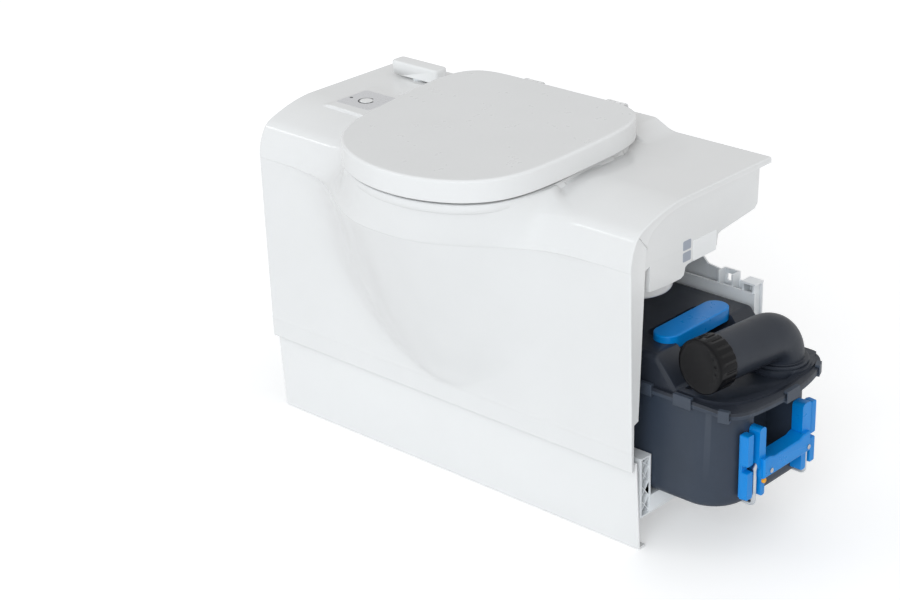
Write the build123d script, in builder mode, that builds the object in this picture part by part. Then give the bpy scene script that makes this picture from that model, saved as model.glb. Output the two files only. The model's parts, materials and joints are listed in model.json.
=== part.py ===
"""Bench toilet with a drawn-out waste cassette, in millimetres.

X runs along the bench, with its open end at +X, +Y points to the rear and +Z up.
The origin is on the floor at the centre of the floor bolt pattern.
A "depth" is a distance behind the front face of the plinth at floor level.
"""
from build123d import *
from math import atan, cos, sin, radians, pi
import os

os.makedirs("parts", exist_ok=True)

# ---------------------------------------------------------------- driving dimensions --
LENGTH = 715.0                  # bench length
HALF_LENGTH = LENGTH / 2
PLINTH_Y = -150.0               # front face of the plinth at floor level
WALL = 3.5                      # moulded shell wall
BULGE_WALL = 3.6                # shell wall of the bulge in front of the bowl
DECK_Z = 504.0                  # deck height
REAR = 292.0                    # depth of the rear edge of the deck
CENTRE_X = 24.0                 # centreline of bowl, seat and lid
SEAT_TILT = atan(0.06)          # rise of the seat plane towards the rear
SEAT_DEPTH = 50.0               # depth at which seat levels are given
BREAK_Z = 431.5                 # lower edge of the top band of the shell
COLLAR_Z = 507.0                # collar top at SEAT_DEPTH
BOLT_PITCH = (400.0, 180.0)     # floor bolt pattern
BOLT_RADIUS = 3.25


# --------------------------------------------------------------------------- helpers --
def y_at(depth):
    """Y of a point at the given depth."""
    return PLINTH_Y + depth


def side(*points):
    """(depth, height) pairs as (y, z) points."""
    return [(y_at(depth), height) for depth, height in points]


def plan(*points):
    """(x, depth) pairs as (x, y) points."""
    return [(x, y_at(depth)) for x, depth in points]


def level(height):
    """Horizontal plane; positive extrusions go up."""
    return Plane.XY.offset(height)


def section(x):
    """Plane across the bench, drawn in (y, z); positive extrusions go to +X."""
    return Plane.YZ.offset(x)


def upright(depth):
    """Plane along the bench, drawn in (x, z); positive extrusions go to the front."""
    return Plane.XZ.offset(-y_at(depth))


def seat_plane(height):
    """Plane parallel to the seat, at the given height on the centreline at SEAT_DEPTH."""
    return Plane(origin=(CENTRE_X, y_at(SEAT_DEPTH), height), x_dir=(1, 0, 0),
                 z_dir=(0, -sin(SEAT_TILT), cos(SEAT_TILT)))


def save(builder, name, colour):
    builder.part.label = name
    builder.part.color = Color(colour)
    export_step(builder.part, f"parts/{name}.step")


# -------------------------------------------------------------------- shared places --
BUTTON = (-257.0, y_at(108.0))          # flush button
BUTTON_HOLE_RADIUS = 11.0
LENS = (-286.0, y_at(105.0))            # status lens
PANEL = (-258, y_at(111))               # panel label
PANEL_POCKET = (70, 68)                 # its recess in the deck
HANDLE_X, HANDLE_DEPTH = -270.0, 240.0  # blade handle
HANDLE = (HANDLE_X, y_at(HANDLE_DEPTH))
SHAFT_RADIUS = 7

# ---------------------------------------------------------------------- lid outline --
# (half width, depth) from the front of the lid round to its rear
LID_HALF = [
    (0, -142), (38, -139), (66, -132), (97, -119.5), (126, -100), (148, -75),
    (161.5, -46), (169, -14), (173.5, 26), (177, 78), (179, 130), (177, 166),
    (167.5, 196), (147, 217), (117, 225.5), (60, 227), (0, 227),
]


def inset_half(points, inset):
    """Half outline moved inwards, point by point along the local normal."""
    before = [(-points[1][0], points[1][1]), *points[:-1]]
    after = [*points[1:], (-points[-2][0], points[-2][1])]
    moved = []
    for (x, depth), previous, following in zip(points, before, after):
        across = following[0] - previous[0]
        back = following[1] - previous[1]
        length = (across ** 2 + back ** 2) ** 0.5
        moved.append((x - back / length * inset, depth + across / length * inset))
    moved[0] = (0, moved[0][1])
    moved[-1] = (0, moved[-1][1])
    return moved


def lid_loop(inset):
    """Closed list of seat plane points of the lid outline, moved inwards."""
    half = inset_half(LID_HALF, inset)
    right = [(x, depth - SEAT_DEPTH) for x, depth in half]
    left = [(-x, depth - SEAT_DEPTH) for x, depth in reversed(half[1:-1])]
    return right + left


# ======================================================================= bench shell ==
# front profile, (depth, height)
WALL_LINE = side((-20.0, 130.5), (-25.5, 366.0), (-26.5, BREAK_Z))
CROWN = side((-26.5, BREAK_Z), (-25.0, 446), (-22.0, 457), (-18, 466.5), (-10, 478),
             (8, 487.5), (40, 497.3), (92, DECK_Z))
INNER_WALL_LINE = side((-16.3, 120), (-21.9, 366), (-22.9, BREAK_Z))
INNER_CROWN = side((-22.9, BREAK_Z), (-21.4, 445.5), (-18.5, 455.5), (-14.8, 464.2),
                   (-7.6, 474.6), (9.2, 484.1), (41, 493.8), (92, DECK_Z - WALL))

# bulge in front of the bowl: (height, forward depth, half width, centre x)
BULGE = [
    (152.0, -6.0, 26.0, 16.0), (165, 3.0, 58.0, 14.0), (190, 14.0, 118.0, 9.0),
    (225, 29.0, 172.0, 6.0), (275, 48.0, 222.0, 4.0), (330, 68.0, 256.0, 3.0),
    (380, 86.0, 273.0, 2.0), (BREAK_Z, 103.0, 288.0, 0.0),
]
# plan shape of the bulge: (fraction of half width, fraction of forward depth)
BELL = [(0, 1.0), (0.13, 0.98), (0.25, 0.895), (0.40, 0.69), (0.56, 0.40),
        (0.74, 0.125), (1.0, -0.085)]
BULGE_BACK = 30                 # depth of the flat back of the bulge solids
# front of the collar, matching BELL point for point: (half width, depth)
COLLAR_FRONT = [(0, -137), (37, -134), (75, -124), (114, -104.5), (144, -75),
                (165.5, -10), (173, 84)]
COLLAR_HALF_WIDTH = 175.0
COLLAR_BACK = 110.0
BAND_TOP = 500.0                # height of the upper section of the band
COLLAR_INSET = 5.0              # collar inside the lid outline


def both_sides(half, centre):
    """Full line, from -X to +X, of (half width, depth) points listed outwards."""
    left = [(centre - width, y_at(depth)) for width, depth in reversed(half[1:])]
    return left + [(centre + width, y_at(depth)) for width, depth in half]


def bulge_line(station, skin):
    """Front line of one bulge station, its surface moved in by skin."""
    height, forward, half_width, centre = station
    wall = -20.0 - (height - 130.5) * 0.0225 + skin
    half = []
    for width_part, forward_part in BELL:
        # the lowest station is flat and lies behind the wall
        reach = forward * forward_part if forward > 0 else forward
        half.append((half_width * width_part, wall - reach))
    return both_sides(half, centre)


def loft_front(sections, ruled=False, trim=None):
    """Solid through (height, front line, back depth) sections, cut off above trim."""
    with BuildPart() as front:
        for height, line, back in sections:
            start, end = line[0], line[-1]
            with BuildSketch(level(height)):
                with BuildLine():
                    Spline(*line)
                    Polyline(end, (end[0], y_at(back)), (start[0], y_at(back)), start)
                make_face()
        loft(ruled=ruled)
        if trim is not None:
            split(bisect_by=trim, keep=Keep.BOTTOM)
    return front.part


def lower_bulge(skin):
    """Bulge below the break line, its surface moved in by skin."""
    return loft_front([(station[0], bulge_line(station, skin), BULGE_BACK)
                       for station in BULGE])


def band_bulge(skin):
    """Bulge between the break line and the collar."""
    scale = 1 - skin / COLLAR_HALF_WIDTH
    half = [(width * scale, depth + skin) for width, depth in COLLAR_FRONT]
    sections = [(BREAK_Z, bulge_line(BULGE[-1], skin), BULGE_BACK),
                (BAND_TOP, both_sides(half, CENTRE_X), COLLAR_BACK)]
    return loft_front(sections, ruled=True, trim=seat_plane(COLLAR_Z - skin))


def collar(skin, bottom):
    """Upstand that carries the bowl rim, its surface moved in by skin."""
    top = COLLAR_Z - skin
    with BuildPart() as upstand:
        with BuildSketch(seat_plane(top)):
            with BuildLine():
                Spline(*lid_loop(COLLAR_INSET + skin), periodic=True)
            make_face()
        extrude(amount=bottom - top)
    return upstand.part


with BuildPart() as bench_shell:
    with BuildSketch(Plane.YZ):
        with BuildLine():
            Polyline(*WALL_LINE)
            Spline(*CROWN, tangents=[(0.05, 1), (1, 0)])
            Polyline(*side((92, DECK_Z), (REAR, DECK_Z), (REAR, 130.5), (-20, 130.5)))
        make_face()
    extrude(amount=HALF_LENGTH, both=True)
    add(lower_bulge(0))
    add(band_bulge(0))
    add(collar(0, 470))
    # raised ledge that carries the hinges, with sloping ends
    with BuildSketch(upright(REAR)):
        Polygon((CENTRE_X - 205, 495), (CENTRE_X - 160, 518.5),
                (CENTRE_X + 130, 518.5), (CENTRE_X + 178, 495), align=None)
    extrude(amount=70)
    # low plateau under the control panel
    with BuildSketch(level(500)):
        with Locations((-221, y_at(114.5))):
            RectangleRounded(158, 115, 14)
    extrude(amount=5.5, taper=3)
    # inside of the shell
    with BuildSketch(Plane.YZ):
        with BuildLine():
            Polyline(*INNER_WALL_LINE)
            Spline(*INNER_CROWN, tangents=[(0.05, 1), (1, 0)])
            Polyline(*side((92, DECK_Z - WALL), (REAR - WALL, DECK_Z - WALL),
                           (REAR - WALL, 492), (REAR + 8, 492), (REAR + 8, 120),
                           (-16.3, 120)))
        make_face()
    extrude(amount=HALF_LENGTH - 3, both=True, mode=Mode.SUBTRACT)
    add(lower_bulge(BULGE_WALL), mode=Mode.SUBTRACT)
    add(band_bulge(BULGE_WALL), mode=Mode.SUBTRACT)
    add(collar(WALL, 480), mode=Mode.SUBTRACT)
    # inside of the hinge ledge
    with BuildSketch(upright(REAR - WALL)):
        Polygon((CENTRE_X - 190, 498), (CENTRE_X - 158, 515),
                (CENTRE_X + 128, 515), (CENTRE_X + 163, 498), align=None)
    extrude(amount=60, mode=Mode.SUBTRACT)
    # end openings leave a return flange up the front edge and a thin rim under the deck
    with BuildSketch(Plane.YZ):
        with BuildLine():
            Polyline(*side((-16.3, 120), (-16.5, 204), (-7.2, 204), (2.3, 394), (4.5, 436)))
            Spline(*side((4.5, 436), (8, 458), (19, 476), (44, 488.5), (92, 496.5)),
                   tangents=[(0.05, 1), (1, 0.05)])
            Polyline(*side((92, 496.5), (REAR - 9, 496.5), (REAR - 9, 490),
                           (REAR + 8, 490), (REAR + 8, 120), (-16.3, 120)))
        make_face()
    extrude(amount=HALF_LENGTH + 2, both=True, mode=Mode.SUBTRACT)
    # bowl opening
    with BuildSketch(seat_plane(COLLAR_Z + 5)):
        Ellipse(131, 153)
    extrude(amount=-40, mode=Mode.SUBTRACT)
    # holes for the blade handle shaft and the flush button
    with BuildSketch(level(DECK_Z + 8)):
        with Locations(HANDLE, BUTTON):
            Circle(BUTTON_HOLE_RADIUS)
    extrude(amount=-16, mode=Mode.SUBTRACT)
    # recess of the panel label
    with BuildSketch(level(DECK_Z + 1.5)):
        with Locations(PANEL):
            RectangleRounded(*PANEL_POCKET, 6)
    extrude(amount=-0.8, mode=Mode.SUBTRACT)
save(bench_shell, "bench_shell", "white")

# ====================================================================== plinth panel ==
with BuildPart() as plinth_panel:
    with BuildSketch(Plane.YZ):
        Polygon(*side((0, 0.6), (-9.4, 141), (-6.4, 141), (2.6, 4.2), (14, 4.2), (14, 0.6)),
                align=None)
    extrude(amount=HALF_LENGTH, both=True)
    # bottom front edge
    fillet(plinth_panel.edges().filter_by(Axis.X).group_by(Axis.Z)[0].sort_by(Axis.Y)[0:1],
           0.5)
save(plinth_panel, "plinth_panel", "white")

# ========================================================================= base tray ==
TRAY_INNER = -235.0             # X of the tray's inner end
TRAY_LENGTH = HALF_LENGTH - TRAY_INNER
TRAY_MID = (TRAY_INNER + HALF_LENGTH) / 2
BAY_FRONT, BAY_REAR = 22, 264   # depths of the cassette bay floor
BAY_WIDTH = BAY_REAR - BAY_FRONT
BAY_MID = (BAY_FRONT + BAY_REAR) / 2
FLOOR_TOP = 78.0
GUIDE_BOTTOM = 74
GUIDE_REAR = 283                # depth of the rear face of the guide wall
# guide wall seen from the front, (x, height): low at the open end, full height further in
GUIDE_WALL = [
    (TRAY_INNER, GUIDE_BOTTOM), (HALF_LENGTH, GUIDE_BOTTOM), (HALF_LENGTH, 318),
    (337, 318), (337, 309), (318, 309), (318, 322), (292, 322), (292, 316), (262, 320),
    (248, 334), (238, 430), (222, 470), (204, 498), (TRAY_INNER, 498),
]
# stiffening ribs of the guide wall: (x of the middle, height of the top)
GUIDE_RIBS = [
    (HALF_LENGTH - 4.5, 318), (335.5, 318), (316.5, 322), (292, 322),
    (150, 470), (0, 470), (-120, 470), (TRAY_INNER + 3, 470),
]

with BuildPart() as base_tray:
    # floor of the cassette bay
    with BuildSketch(level(FLOOR_TOP)):
        with Locations((TRAY_MID, y_at(BAY_MID))):
            Rectangle(TRAY_LENGTH, BAY_WIDTH)
    extrude(amount=-4)
    # edge of the floor at the open end
    with BuildSketch(level(FLOOR_TOP)):
        with Locations((HALF_LENGTH - 2, y_at(BAY_MID))):
            Rectangle(4, BAY_WIDTH)
    extrude(amount=-28)
    # front box rail
    with BuildSketch(section(TRAY_INNER)):
        with Locations((y_at(13.3), 96.5)):
            Rectangle(22.6, 93)
            Rectangle(17.6, 88, mode=Mode.SUBTRACT)
    extrude(amount=TRAY_LENGTH)
    # crossed ribs inside the rail, seen at the open end
    with BuildSketch(section(HALF_LENGTH - 14)):
        for low, high in ((55, 78), (78, 101), (101, 124), (124, 140)):
            for front, back in ((low, high), (high, low)):
                Polygon(*side((3.6, front - 1), (23, back - 1), (23, back + 1),
                              (3.6, front + 1)), align=None)
    extrude(amount=12)
    # rear guide wall
    with BuildSketch(upright(GUIDE_REAR)):
        Polygon(*GUIDE_WALL, align=None)
    extrude(amount=3.5)
    with BuildSketch(upright(GUIDE_REAR)):
        with Locations((304, 309)):
            RectangleRounded(15, 12, 3)
    extrude(amount=3.5, mode=Mode.SUBTRACT)
    for x, top in GUIDE_RIBS:
        with BuildSketch(level(GUIDE_BOTTOM)):
            with Locations((x, y_at(273.5))):
                Rectangle(3, 19)
        extrude(amount=top - GUIDE_BOTTOM)
    # wall in front of the ribs, and the cap of the ribs at the open end
    with BuildSketch(level(GUIDE_BOTTOM)):
        with Locations((TRAY_MID, y_at(263.75))):
            Rectangle(TRAY_LENGTH, 3)
    extrude(amount=230)
    with BuildSketch(level(318)):
        with Locations((HALF_LENGTH - 12, y_at(273.5))):
            Rectangle(24, 22)
    extrude(amount=-3)
    # stop at the inner end of the bay, with its gussets
    with BuildSketch(level(FLOOR_TOP)):
        with Locations((-97, y_at(BAY_MID))):
            Rectangle(5, 236)
    extrude(amount=36)
    for depth in (60, 143, 226):
        with BuildSketch(upright(depth + 2)):
            Polygon((-94, 76), (-130, 76), (-99, 112), align=None)
        extrude(amount=4)
    # four feet, with walls on their rear and side edges
    with BuildSketch(Plane.XY):
        with GridLocations(*BOLT_PITCH, 2, 2):
            RectangleRounded(54, 46, 8)
    extrude(amount=6)
    with BuildSketch(level(5)):
        with GridLocations(*BOLT_PITCH, 2, 2):
            with Locations((0, 17)):
                Rectangle(50, 4)
            with Locations((-23, 0), (23, 0)):
                Rectangle(4, 38)
    extrude(amount=70)
    with BuildSketch(level(-1)):
        with GridLocations(*BOLT_PITCH, 2, 2):
            Circle(BOLT_RADIUS)
    extrude(amount=10, mode=Mode.SUBTRACT)
save(base_tray, "base_tray", "gainsboro")

# ================================================================== flush water tank ==
FLUSH_TANK_INNER, FLUSH_TANK_END = 214.0, 356.6
FLUSH_TANK_LENGTH = FLUSH_TANK_END - FLUSH_TANK_INNER
FLUSH_TANK_WALL = 3
PUMP = (288, y_at(74))          # pump under the tank, and its port
BARB = (300, 470)               # inlet barb on the rear wall, (x, height)
# end profile, (depth, height), along the underside, up the rear and forward over the top
FLUSH_TANK_SIDES = side(
    (5.2, 394), (16, 390.5), (56, 387), (86, 387), (93, 390), (96, 401), (106, 405.5),
    (162, 405.5), (168, 411), (170.5, 426), (178, 428.5), (256, 437), (263, 444),
    (265, 488), (265, 495.4), (93, 495.4))
FLUSH_TANK_CROWN = side((93, 495.4), (46, 487.6), (20.6, 475.2), (9.6, 457.2), (6.2, 436))
FLUSH_TANK_VOID = side(
    (9, 396), (16, 393.6), (56, 390.2), (85, 390.2), (90, 392), (93, 403.5), (105, 408.7),
    (160, 408.7), (165, 413), (167.5, 428), (177, 431.6), (254, 440), (260, 446),
    (262, 488), (262, 492), (93, 492), (48, 484.4), (24, 472.8), (13, 456), (9.4, 436),
    (9, 396))
# pieces added behind the end face: (start behind the face, length, (depth, height) profile)
FLUSH_TANK_PIECES = [
    # floor, rear side and top of the channel near the front edge
    (17, 3.2, side((5.4, 391), (6.2, 430), (20, 432), (20, 391))),
    (17, 15, side((17, 390.5), (17, 432), (20, 432), (20, 390))),
    (17, 15, side((5.6, 427), (5.6, 432), (20, 434), (20, 427.5))),
    # small step under the label
    (24, 14, side((100, 402), (104, 406), (160, 406), (160, 398), (108, 396))),
]

with BuildPart() as flush_water_tank:
    with BuildSketch(section(FLUSH_TANK_INNER)):
        with BuildLine():
            Polyline(*FLUSH_TANK_SIDES)
            Spline(*FLUSH_TANK_CROWN, tangents=[(-1, -0.05), (-0.05, -1)])
            Line(FLUSH_TANK_CROWN[-1], FLUSH_TANK_SIDES[0])
        make_face()
    extrude(amount=FLUSH_TANK_LENGTH)
    with BuildSketch(section(FLUSH_TANK_INNER + FLUSH_TANK_WALL)):
        with BuildLine():
            Polyline(*FLUSH_TANK_VOID)
        make_face()
    extrude(amount=FLUSH_TANK_LENGTH - 2 * FLUSH_TANK_WALL, mode=Mode.SUBTRACT)
    # vertical channel near the front edge of the end face
    with BuildSketch(section(FLUSH_TANK_END)):
        Polygon(*side((5.6, 380), (6, 424), (17, 428), (17, 380)), align=None)
    extrude(amount=-14, mode=Mode.SUBTRACT)
    for start, length, profile in FLUSH_TANK_PIECES:
        with BuildSketch(section(FLUSH_TANK_END - start)):
            Polygon(*profile, align=None)
        extrude(amount=length)
    # pump port in the floor of the tank
    with BuildSketch(level(380)):
        with Locations(PUMP):
            Circle(16.2)
    extrude(amount=16, mode=Mode.SUBTRACT)
    # inlet barb at the back: collar, pipe and bore
    for radius, length in ((9, 7), (5, 27)):
        with BuildSketch(upright(261.5)):
            with Locations(BARB):
                Circle(radius)
        extrude(amount=-length)
    with BuildSketch(upright(261.5)):
        with Locations(BARB):
            Circle(3.2)
    extrude(amount=40, both=True, mode=Mode.SUBTRACT)
save(flush_water_tank, "flush_water_tank", "whitesmoke")

with BuildPart() as flush_pump:
    with BuildSketch(level(362)):
        with Locations(PUMP):
            Circle(52)
    extrude(amount=24.4)
    fillet(flush_pump.edges().group_by(Axis.Z)[0], 7)
    # neck up into the tank
    with BuildSketch(level(386)):
        with Locations(PUMP):
            Circle(16)
    extrude(amount=20)
    # hose outlet towards the bowl
    with BuildSketch(section(240)):
        with Locations((PUMP[1], 377)):
            Circle(5)
    extrude(amount=-42)
save(flush_pump, "flush_pump", "whitesmoke")

with BuildPart() as blank_label:
    with BuildSketch(section(FLUSH_TANK_END + 0.02)):
        with Locations((y_at(134), 423.5)):
            RectangleRounded(62, 31, 2)
    extrude(amount=0.25)
    # two raised squares at the front end of the label
    with BuildSketch(section(FLUSH_TANK_END + 0.2)):
        with Locations(*side((111.5, 431), (111.5, 416))):
            RectangleRounded(13.5, 13, 2)
    extrude(amount=0.2)
save(blank_label, "blank_label", "lightgray")

# ======================================================================= toilet bowl ==
OUTLET_Z = 300.0
OUTLET = (CENTRE_X, y_at(150))
BOWL_WALL = 6
BOWL_LEVELS = (OUTLET_Z, 335, 390, 450)
# ellipse at each level: (depth of the middle, half width, half depth)
BOWL_ELLIPSES = [(150, 66, 66), (143, 72, 80), (108, 95, 112), (69, 118, 139)]
BOWL_TOP = (128, 149.5)         # outer ellipse in the collar
NOZZLE = (CENTRE_X, 486)        # flush nozzle, (x, height)

with BuildPart() as toilet_bowl:
    for height, (depth, half_width, half_depth) in zip(BOWL_LEVELS, BOWL_ELLIPSES):
        with BuildSketch(level(height)):
            with Locations((CENTRE_X, y_at(depth))):
                Ellipse(half_width, half_depth)
    with BuildSketch(seat_plane(COLLAR_Z - 2)):
        Ellipse(*BOWL_TOP)
    loft()
    # rim lying on the collar
    with BuildSketch(seat_plane(COLLAR_Z + 0.05)):
        with BuildLine():
            Spline(*lid_loop(17), periodic=True)
        make_face()
    extrude(amount=4)
    with BuildSketch(seat_plane(COLLAR_Z - 2)):
        Ellipse(*BOWL_TOP)
    extrude(amount=4)
    # inside of the bowl, open at both ends
    inner_levels = (OUTLET_Z - 1, *BOWL_LEVELS[1:])
    for height, (depth, half_width, half_depth) in zip(inner_levels, BOWL_ELLIPSES):
        with BuildSketch(level(height)):
            with Locations((CENTRE_X, y_at(depth))):
                Ellipse(half_width - BOWL_WALL, half_depth - BOWL_WALL)
    with BuildSketch(seat_plane(COLLAR_Z + 6)):
        Ellipse(121, 141)
    loft(mode=Mode.SUBTRACT)
    # hole for the flush nozzle at the rear
    with BuildSketch(upright(180)):
        with Locations(NOZZLE):
            Circle(8.1)
    extrude(amount=-40, mode=Mode.SUBTRACT)
save(toilet_bowl, "toilet_bowl", "ivory")

with BuildPart() as bowl_outlet_ring:
    with BuildSketch(level(OUTLET_Z + 2)):
        with Locations(OUTLET):
            Circle(80)
            Circle(73.8, mode=Mode.SUBTRACT)
    extrude(amount=6)
    # screw ears
    with BuildSketch(level(OUTLET_Z + 2)):
        with Locations(OUTLET):
            Rectangle(190, 26)
            Circle(78, mode=Mode.SUBTRACT)
    extrude(amount=6)
    with BuildSketch(level(OUTLET_Z)):
        with Locations((CENTRE_X - 90, OUTLET[1]), (CENTRE_X + 90, OUTLET[1])):
            Circle(3)
    extrude(amount=10, mode=Mode.SUBTRACT)
save(bowl_outlet_ring, "bowl_outlet_ring", "gainsboro")

with BuildPart() as bowl_outlet_seal:
    # flat ring, then its upturned outer lip
    for outer, inner, height in ((72, 60.5, 2.5), (73.4, 71.2, 4.5)):
        with BuildSketch(level(OUTLET_Z - 2.6)):
            with Locations(OUTLET):
                Circle(outer)
                Circle(inner, mode=Mode.SUBTRACT)
        extrude(amount=height)
save(bowl_outlet_seal, "bowl_outlet_seal", "dimgray")

with BuildPart() as flush_nozzle:
    # pipe, then its flange
    for depth, radius, length in ((184, 8, 30), (208.5, 12, 3)):
        with BuildSketch(upright(depth)):
            with Locations(NOZZLE):
                Circle(radius)
        extrude(amount=-length)
    with BuildSketch(upright(180)):
        with Locations(NOZZLE):
            Circle(3)
    extrude(amount=-50, mode=Mode.SUBTRACT)
save(flush_nozzle, "flush_nozzle", "gray")

HOSE_START = (CENTRE_X, y_at(214.6), NOZZLE[1])
HOSE_X, HOSE_Y = 186, y_at(224)         # vertical run of the hose

with BuildPart() as flush_hose:
    with BuildLine() as hose_path:
        FilletPolyline(HOSE_START, (CENTRE_X, HOSE_Y, NOZZLE[1]), (HOSE_X, HOSE_Y, NOZZLE[1]),
                       (HOSE_X, HOSE_Y, 377), (HOSE_X, PUMP[1], 377), (197.9, PUMP[1], 377),
                       radius=9)
    with BuildSketch(Plane(origin=HOSE_START, z_dir=(0, 1, 0))):
        Circle(6)
    sweep(path=hose_path.wires()[0])
save(flush_hose, "flush_hose", "slategray")

# ====================================================================== seat and lid ==
PIVOT_Y, PIVOT_Z = y_at(263.0), 531.5   # common hinge axis of seat and lid
PIVOT = (PIVOT_Y, PIVOT_Z)
HINGE_X = (CENTRE_X - 79.0, CENTRE_X + 79.0)    # middle of each hinge
EAR = 9.0                               # width of one hinge ear
EAR_GAP = 0.5                           # from the middle of the hinge to an ear
EAR_RADIUS = 8
EAR_HOLE_RADIUS = 4.05
# lower X of each ear: the seat's ears are between the middles of the hinges
SEAT_EARS = (HINGE_X[0] + EAR_GAP, HINGE_X[1] - EAR_GAP - EAR)
LID_EARS = (HINGE_X[0] - EAR_GAP - EAR, HINGE_X[1] + EAR_GAP)


def ear_points(root_z, root_depth):
    """Corners of a hinge ear from the pivot to its root and back."""
    return [(PIVOT_Y, PIVOT_Z + EAR_RADIUS), (y_at(root_depth), root_z + 5),
            (y_at(root_depth), root_z - 5), (PIVOT_Y - 10, PIVOT_Z - 7.8),
            (PIVOT_Y, PIVOT_Z - EAR_RADIUS)]


def hinge_screw_places(hinge_x):
    """Places of the two screws of one hinge bracket."""
    return [(hinge_x - 21, y_at(270)), (hinge_x + 21, y_at(270))]


with BuildPart() as seat:
    with BuildSketch(seat_plane(515.0)):
        with BuildLine():
            Spline(*lid_loop(11), periodic=True)
        make_face()
    extrude(amount=17)
    fillet(seat.edges().group_by(Axis.Z)[-1], 6)
    # opening, flared at the top
    with BuildSketch(seat_plane(514.0)):
        with Locations((0, -6)):
            Ellipse(107, 128)
    extrude(amount=20, mode=Mode.SUBTRACT)
    for height, half_width, half_depth in ((527.5, 106.9, 127.9), (533.0, 113, 134)):
        with BuildSketch(seat_plane(height)):
            with Locations((0, -6)):
                Ellipse(half_width, half_depth)
    loft(ruled=True, mode=Mode.SUBTRACT)
    for x in SEAT_EARS:
        with BuildSketch(section(x)):
            Polygon(*ear_points(533, 208), align=None)
            with Locations(PIVOT):
                Circle(EAR_RADIUS)
                Circle(EAR_HOLE_RADIUS, mode=Mode.SUBTRACT)
        extrude(amount=EAR)
save(seat, "seat", "whitesmoke")

with BuildPart() as lid:
    with BuildSketch(seat_plane(512.0)):
        with BuildLine():
            Spline(*lid_loop(0), periodic=True)
        make_face()
    extrude(amount=33)
    fillet(lid.edges().group_by(Axis.Z)[-1], 4.5)
    # hollow that covers the seat
    with BuildSketch(seat_plane(511.0)):
        with BuildLine():
            Spline(*lid_loop(4), periodic=True)
        make_face()
    extrude(amount=30, mode=Mode.SUBTRACT)
    # notches that let the hinge ears of the seat pass
    with BuildSketch(level(515)):
        with Locations(*[(x + EAR / 2, y_at(222)) for x in SEAT_EARS]):
            Rectangle(EAR + 3, 34)
    extrude(amount=37.2, mode=Mode.SUBTRACT)
    for x in LID_EARS:
        with BuildSketch(section(x)):
            Polygon(*ear_points(532, 224.5), align=None)
            with Locations(PIVOT):
                Circle(EAR_RADIUS)
                Circle(EAR_HOLE_RADIUS, mode=Mode.SUBTRACT)
        extrude(amount=EAR)
save(lid, "lid", "lightgray")

BRACKET_TOP = 522.6                     # top of the bracket's foot plate
CHEEK_RADIUS = 8.2
CHEEK = [(PIVOT_Y - CHEEK_RADIUS, 521), (PIVOT_Y - CHEEK_RADIUS, PIVOT_Z),
         (PIVOT_Y + CHEEK_RADIUS, PIVOT_Z), (PIVOT_Y + 10, 521),
         (PIVOT_Y - CHEEK_RADIUS, 521)]

with BuildPart() as hinge_brackets:
    for hinge_x in HINGE_X:
        with BuildSketch(level(518.6)):
            with Locations((hinge_x, PIVOT_Y)):
                RectangleRounded(52, 32, 4)
        extrude(amount=4)
        # cheeks on both sides of the ears
        for cheek_start in (-16.5, 10.5):
            with BuildSketch(section(hinge_x + cheek_start)):
                with BuildLine():
                    Polyline(*CHEEK)
                make_face()
                with Locations(PIVOT):
                    Circle(CHEEK_RADIUS)
                    Circle(4.0, mode=Mode.SUBTRACT)
            extrude(amount=6)
        with BuildSketch(level(510)):
            with Locations(*hinge_screw_places(hinge_x)):
                Circle(2.2)
        extrude(amount=20, mode=Mode.SUBTRACT)
save(hinge_brackets, "hinge_brackets", "lightgray")

with BuildPart() as hinge_screws:
    for hinge_x in HINGE_X:
        # head, then shank
        for radius, length in ((4, 2.6), (2.15, -3.9)):
            with BuildSketch(level(BRACKET_TOP)):
                with Locations(*hinge_screw_places(hinge_x)):
                    Circle(radius)
            extrude(amount=length)
save(hinge_screws, "hinge_screws", "silver")

with BuildPart() as hinge_pins:
    for hinge_x in HINGE_X:
        # pin, then its two heads: (start, radius, length)
        for start, radius, length in ((-18, 3.98, 36), (-18, 5.5, 1.4), (16.6, 5.5, 1.4)):
            with BuildSketch(section(hinge_x + start)):
                with Locations(PIVOT):
                    Circle(radius)
            extrude(amount=length)
save(hinge_pins, "hinge_pins", "silver")

with BuildPart() as seat_buffers:
    with BuildSketch(seat_plane(511.15)):
        with Locations((-128, 66), (128, 66), (-118, -66), (118, -66)):
            RectangleRounded(14, 30, 6)
    extrude(amount=3.8)
save(seat_buffers, "seat_buffers", "gray")

with BuildPart() as lid_buffers:
    with BuildSketch(seat_plane(532.1)):
        with Locations((-134, 60), (134, 60), (-122, -64), (122, -64)):
            RectangleRounded(12, 26, 5)
    extrude(amount=8.85)
save(lid_buffers, "lid_buffers", "gray")

# ===================================================================== control panel ==
LENS_RADIUS = 2.5

with BuildPart() as control_panel_label:
    with BuildSketch(level(DECK_Z + 0.75)):
        with Locations(PANEL):
            RectangleRounded(PANEL_POCKET[0] - 0.6, PANEL_POCKET[1] - 0.6, 6)
        with Locations(BUTTON):
            Circle(BUTTON_HOLE_RADIUS, mode=Mode.SUBTRACT)
        with Locations(LENS):
            Circle(LENS_RADIUS + 0.1, mode=Mode.SUBTRACT)
    extrude(amount=0.9)
save(control_panel_label, "control_panel_label", "lightgray")

with BuildPart() as status_lens:
    with BuildSketch(level(DECK_Z + 0.8)):
        with Locations(LENS):
            Circle(LENS_RADIUS)
    extrude(amount=1.0)
save(status_lens, "status_lens", "black")

with BuildPart() as flush_button:
    with BuildSketch(level(DECK_Z - 10)):
        with Locations(BUTTON):
            Circle(10.2)
    extrude(amount=12.6)
    fillet(flush_button.edges().group_by(Axis.Z)[-1], 1.0)
    # flange under the deck
    with BuildSketch(level(DECK_Z - 13)):
        with Locations(BUTTON):
            Circle(13)
    extrude(amount=3)
save(flush_button, "flush_button", "white")

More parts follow.
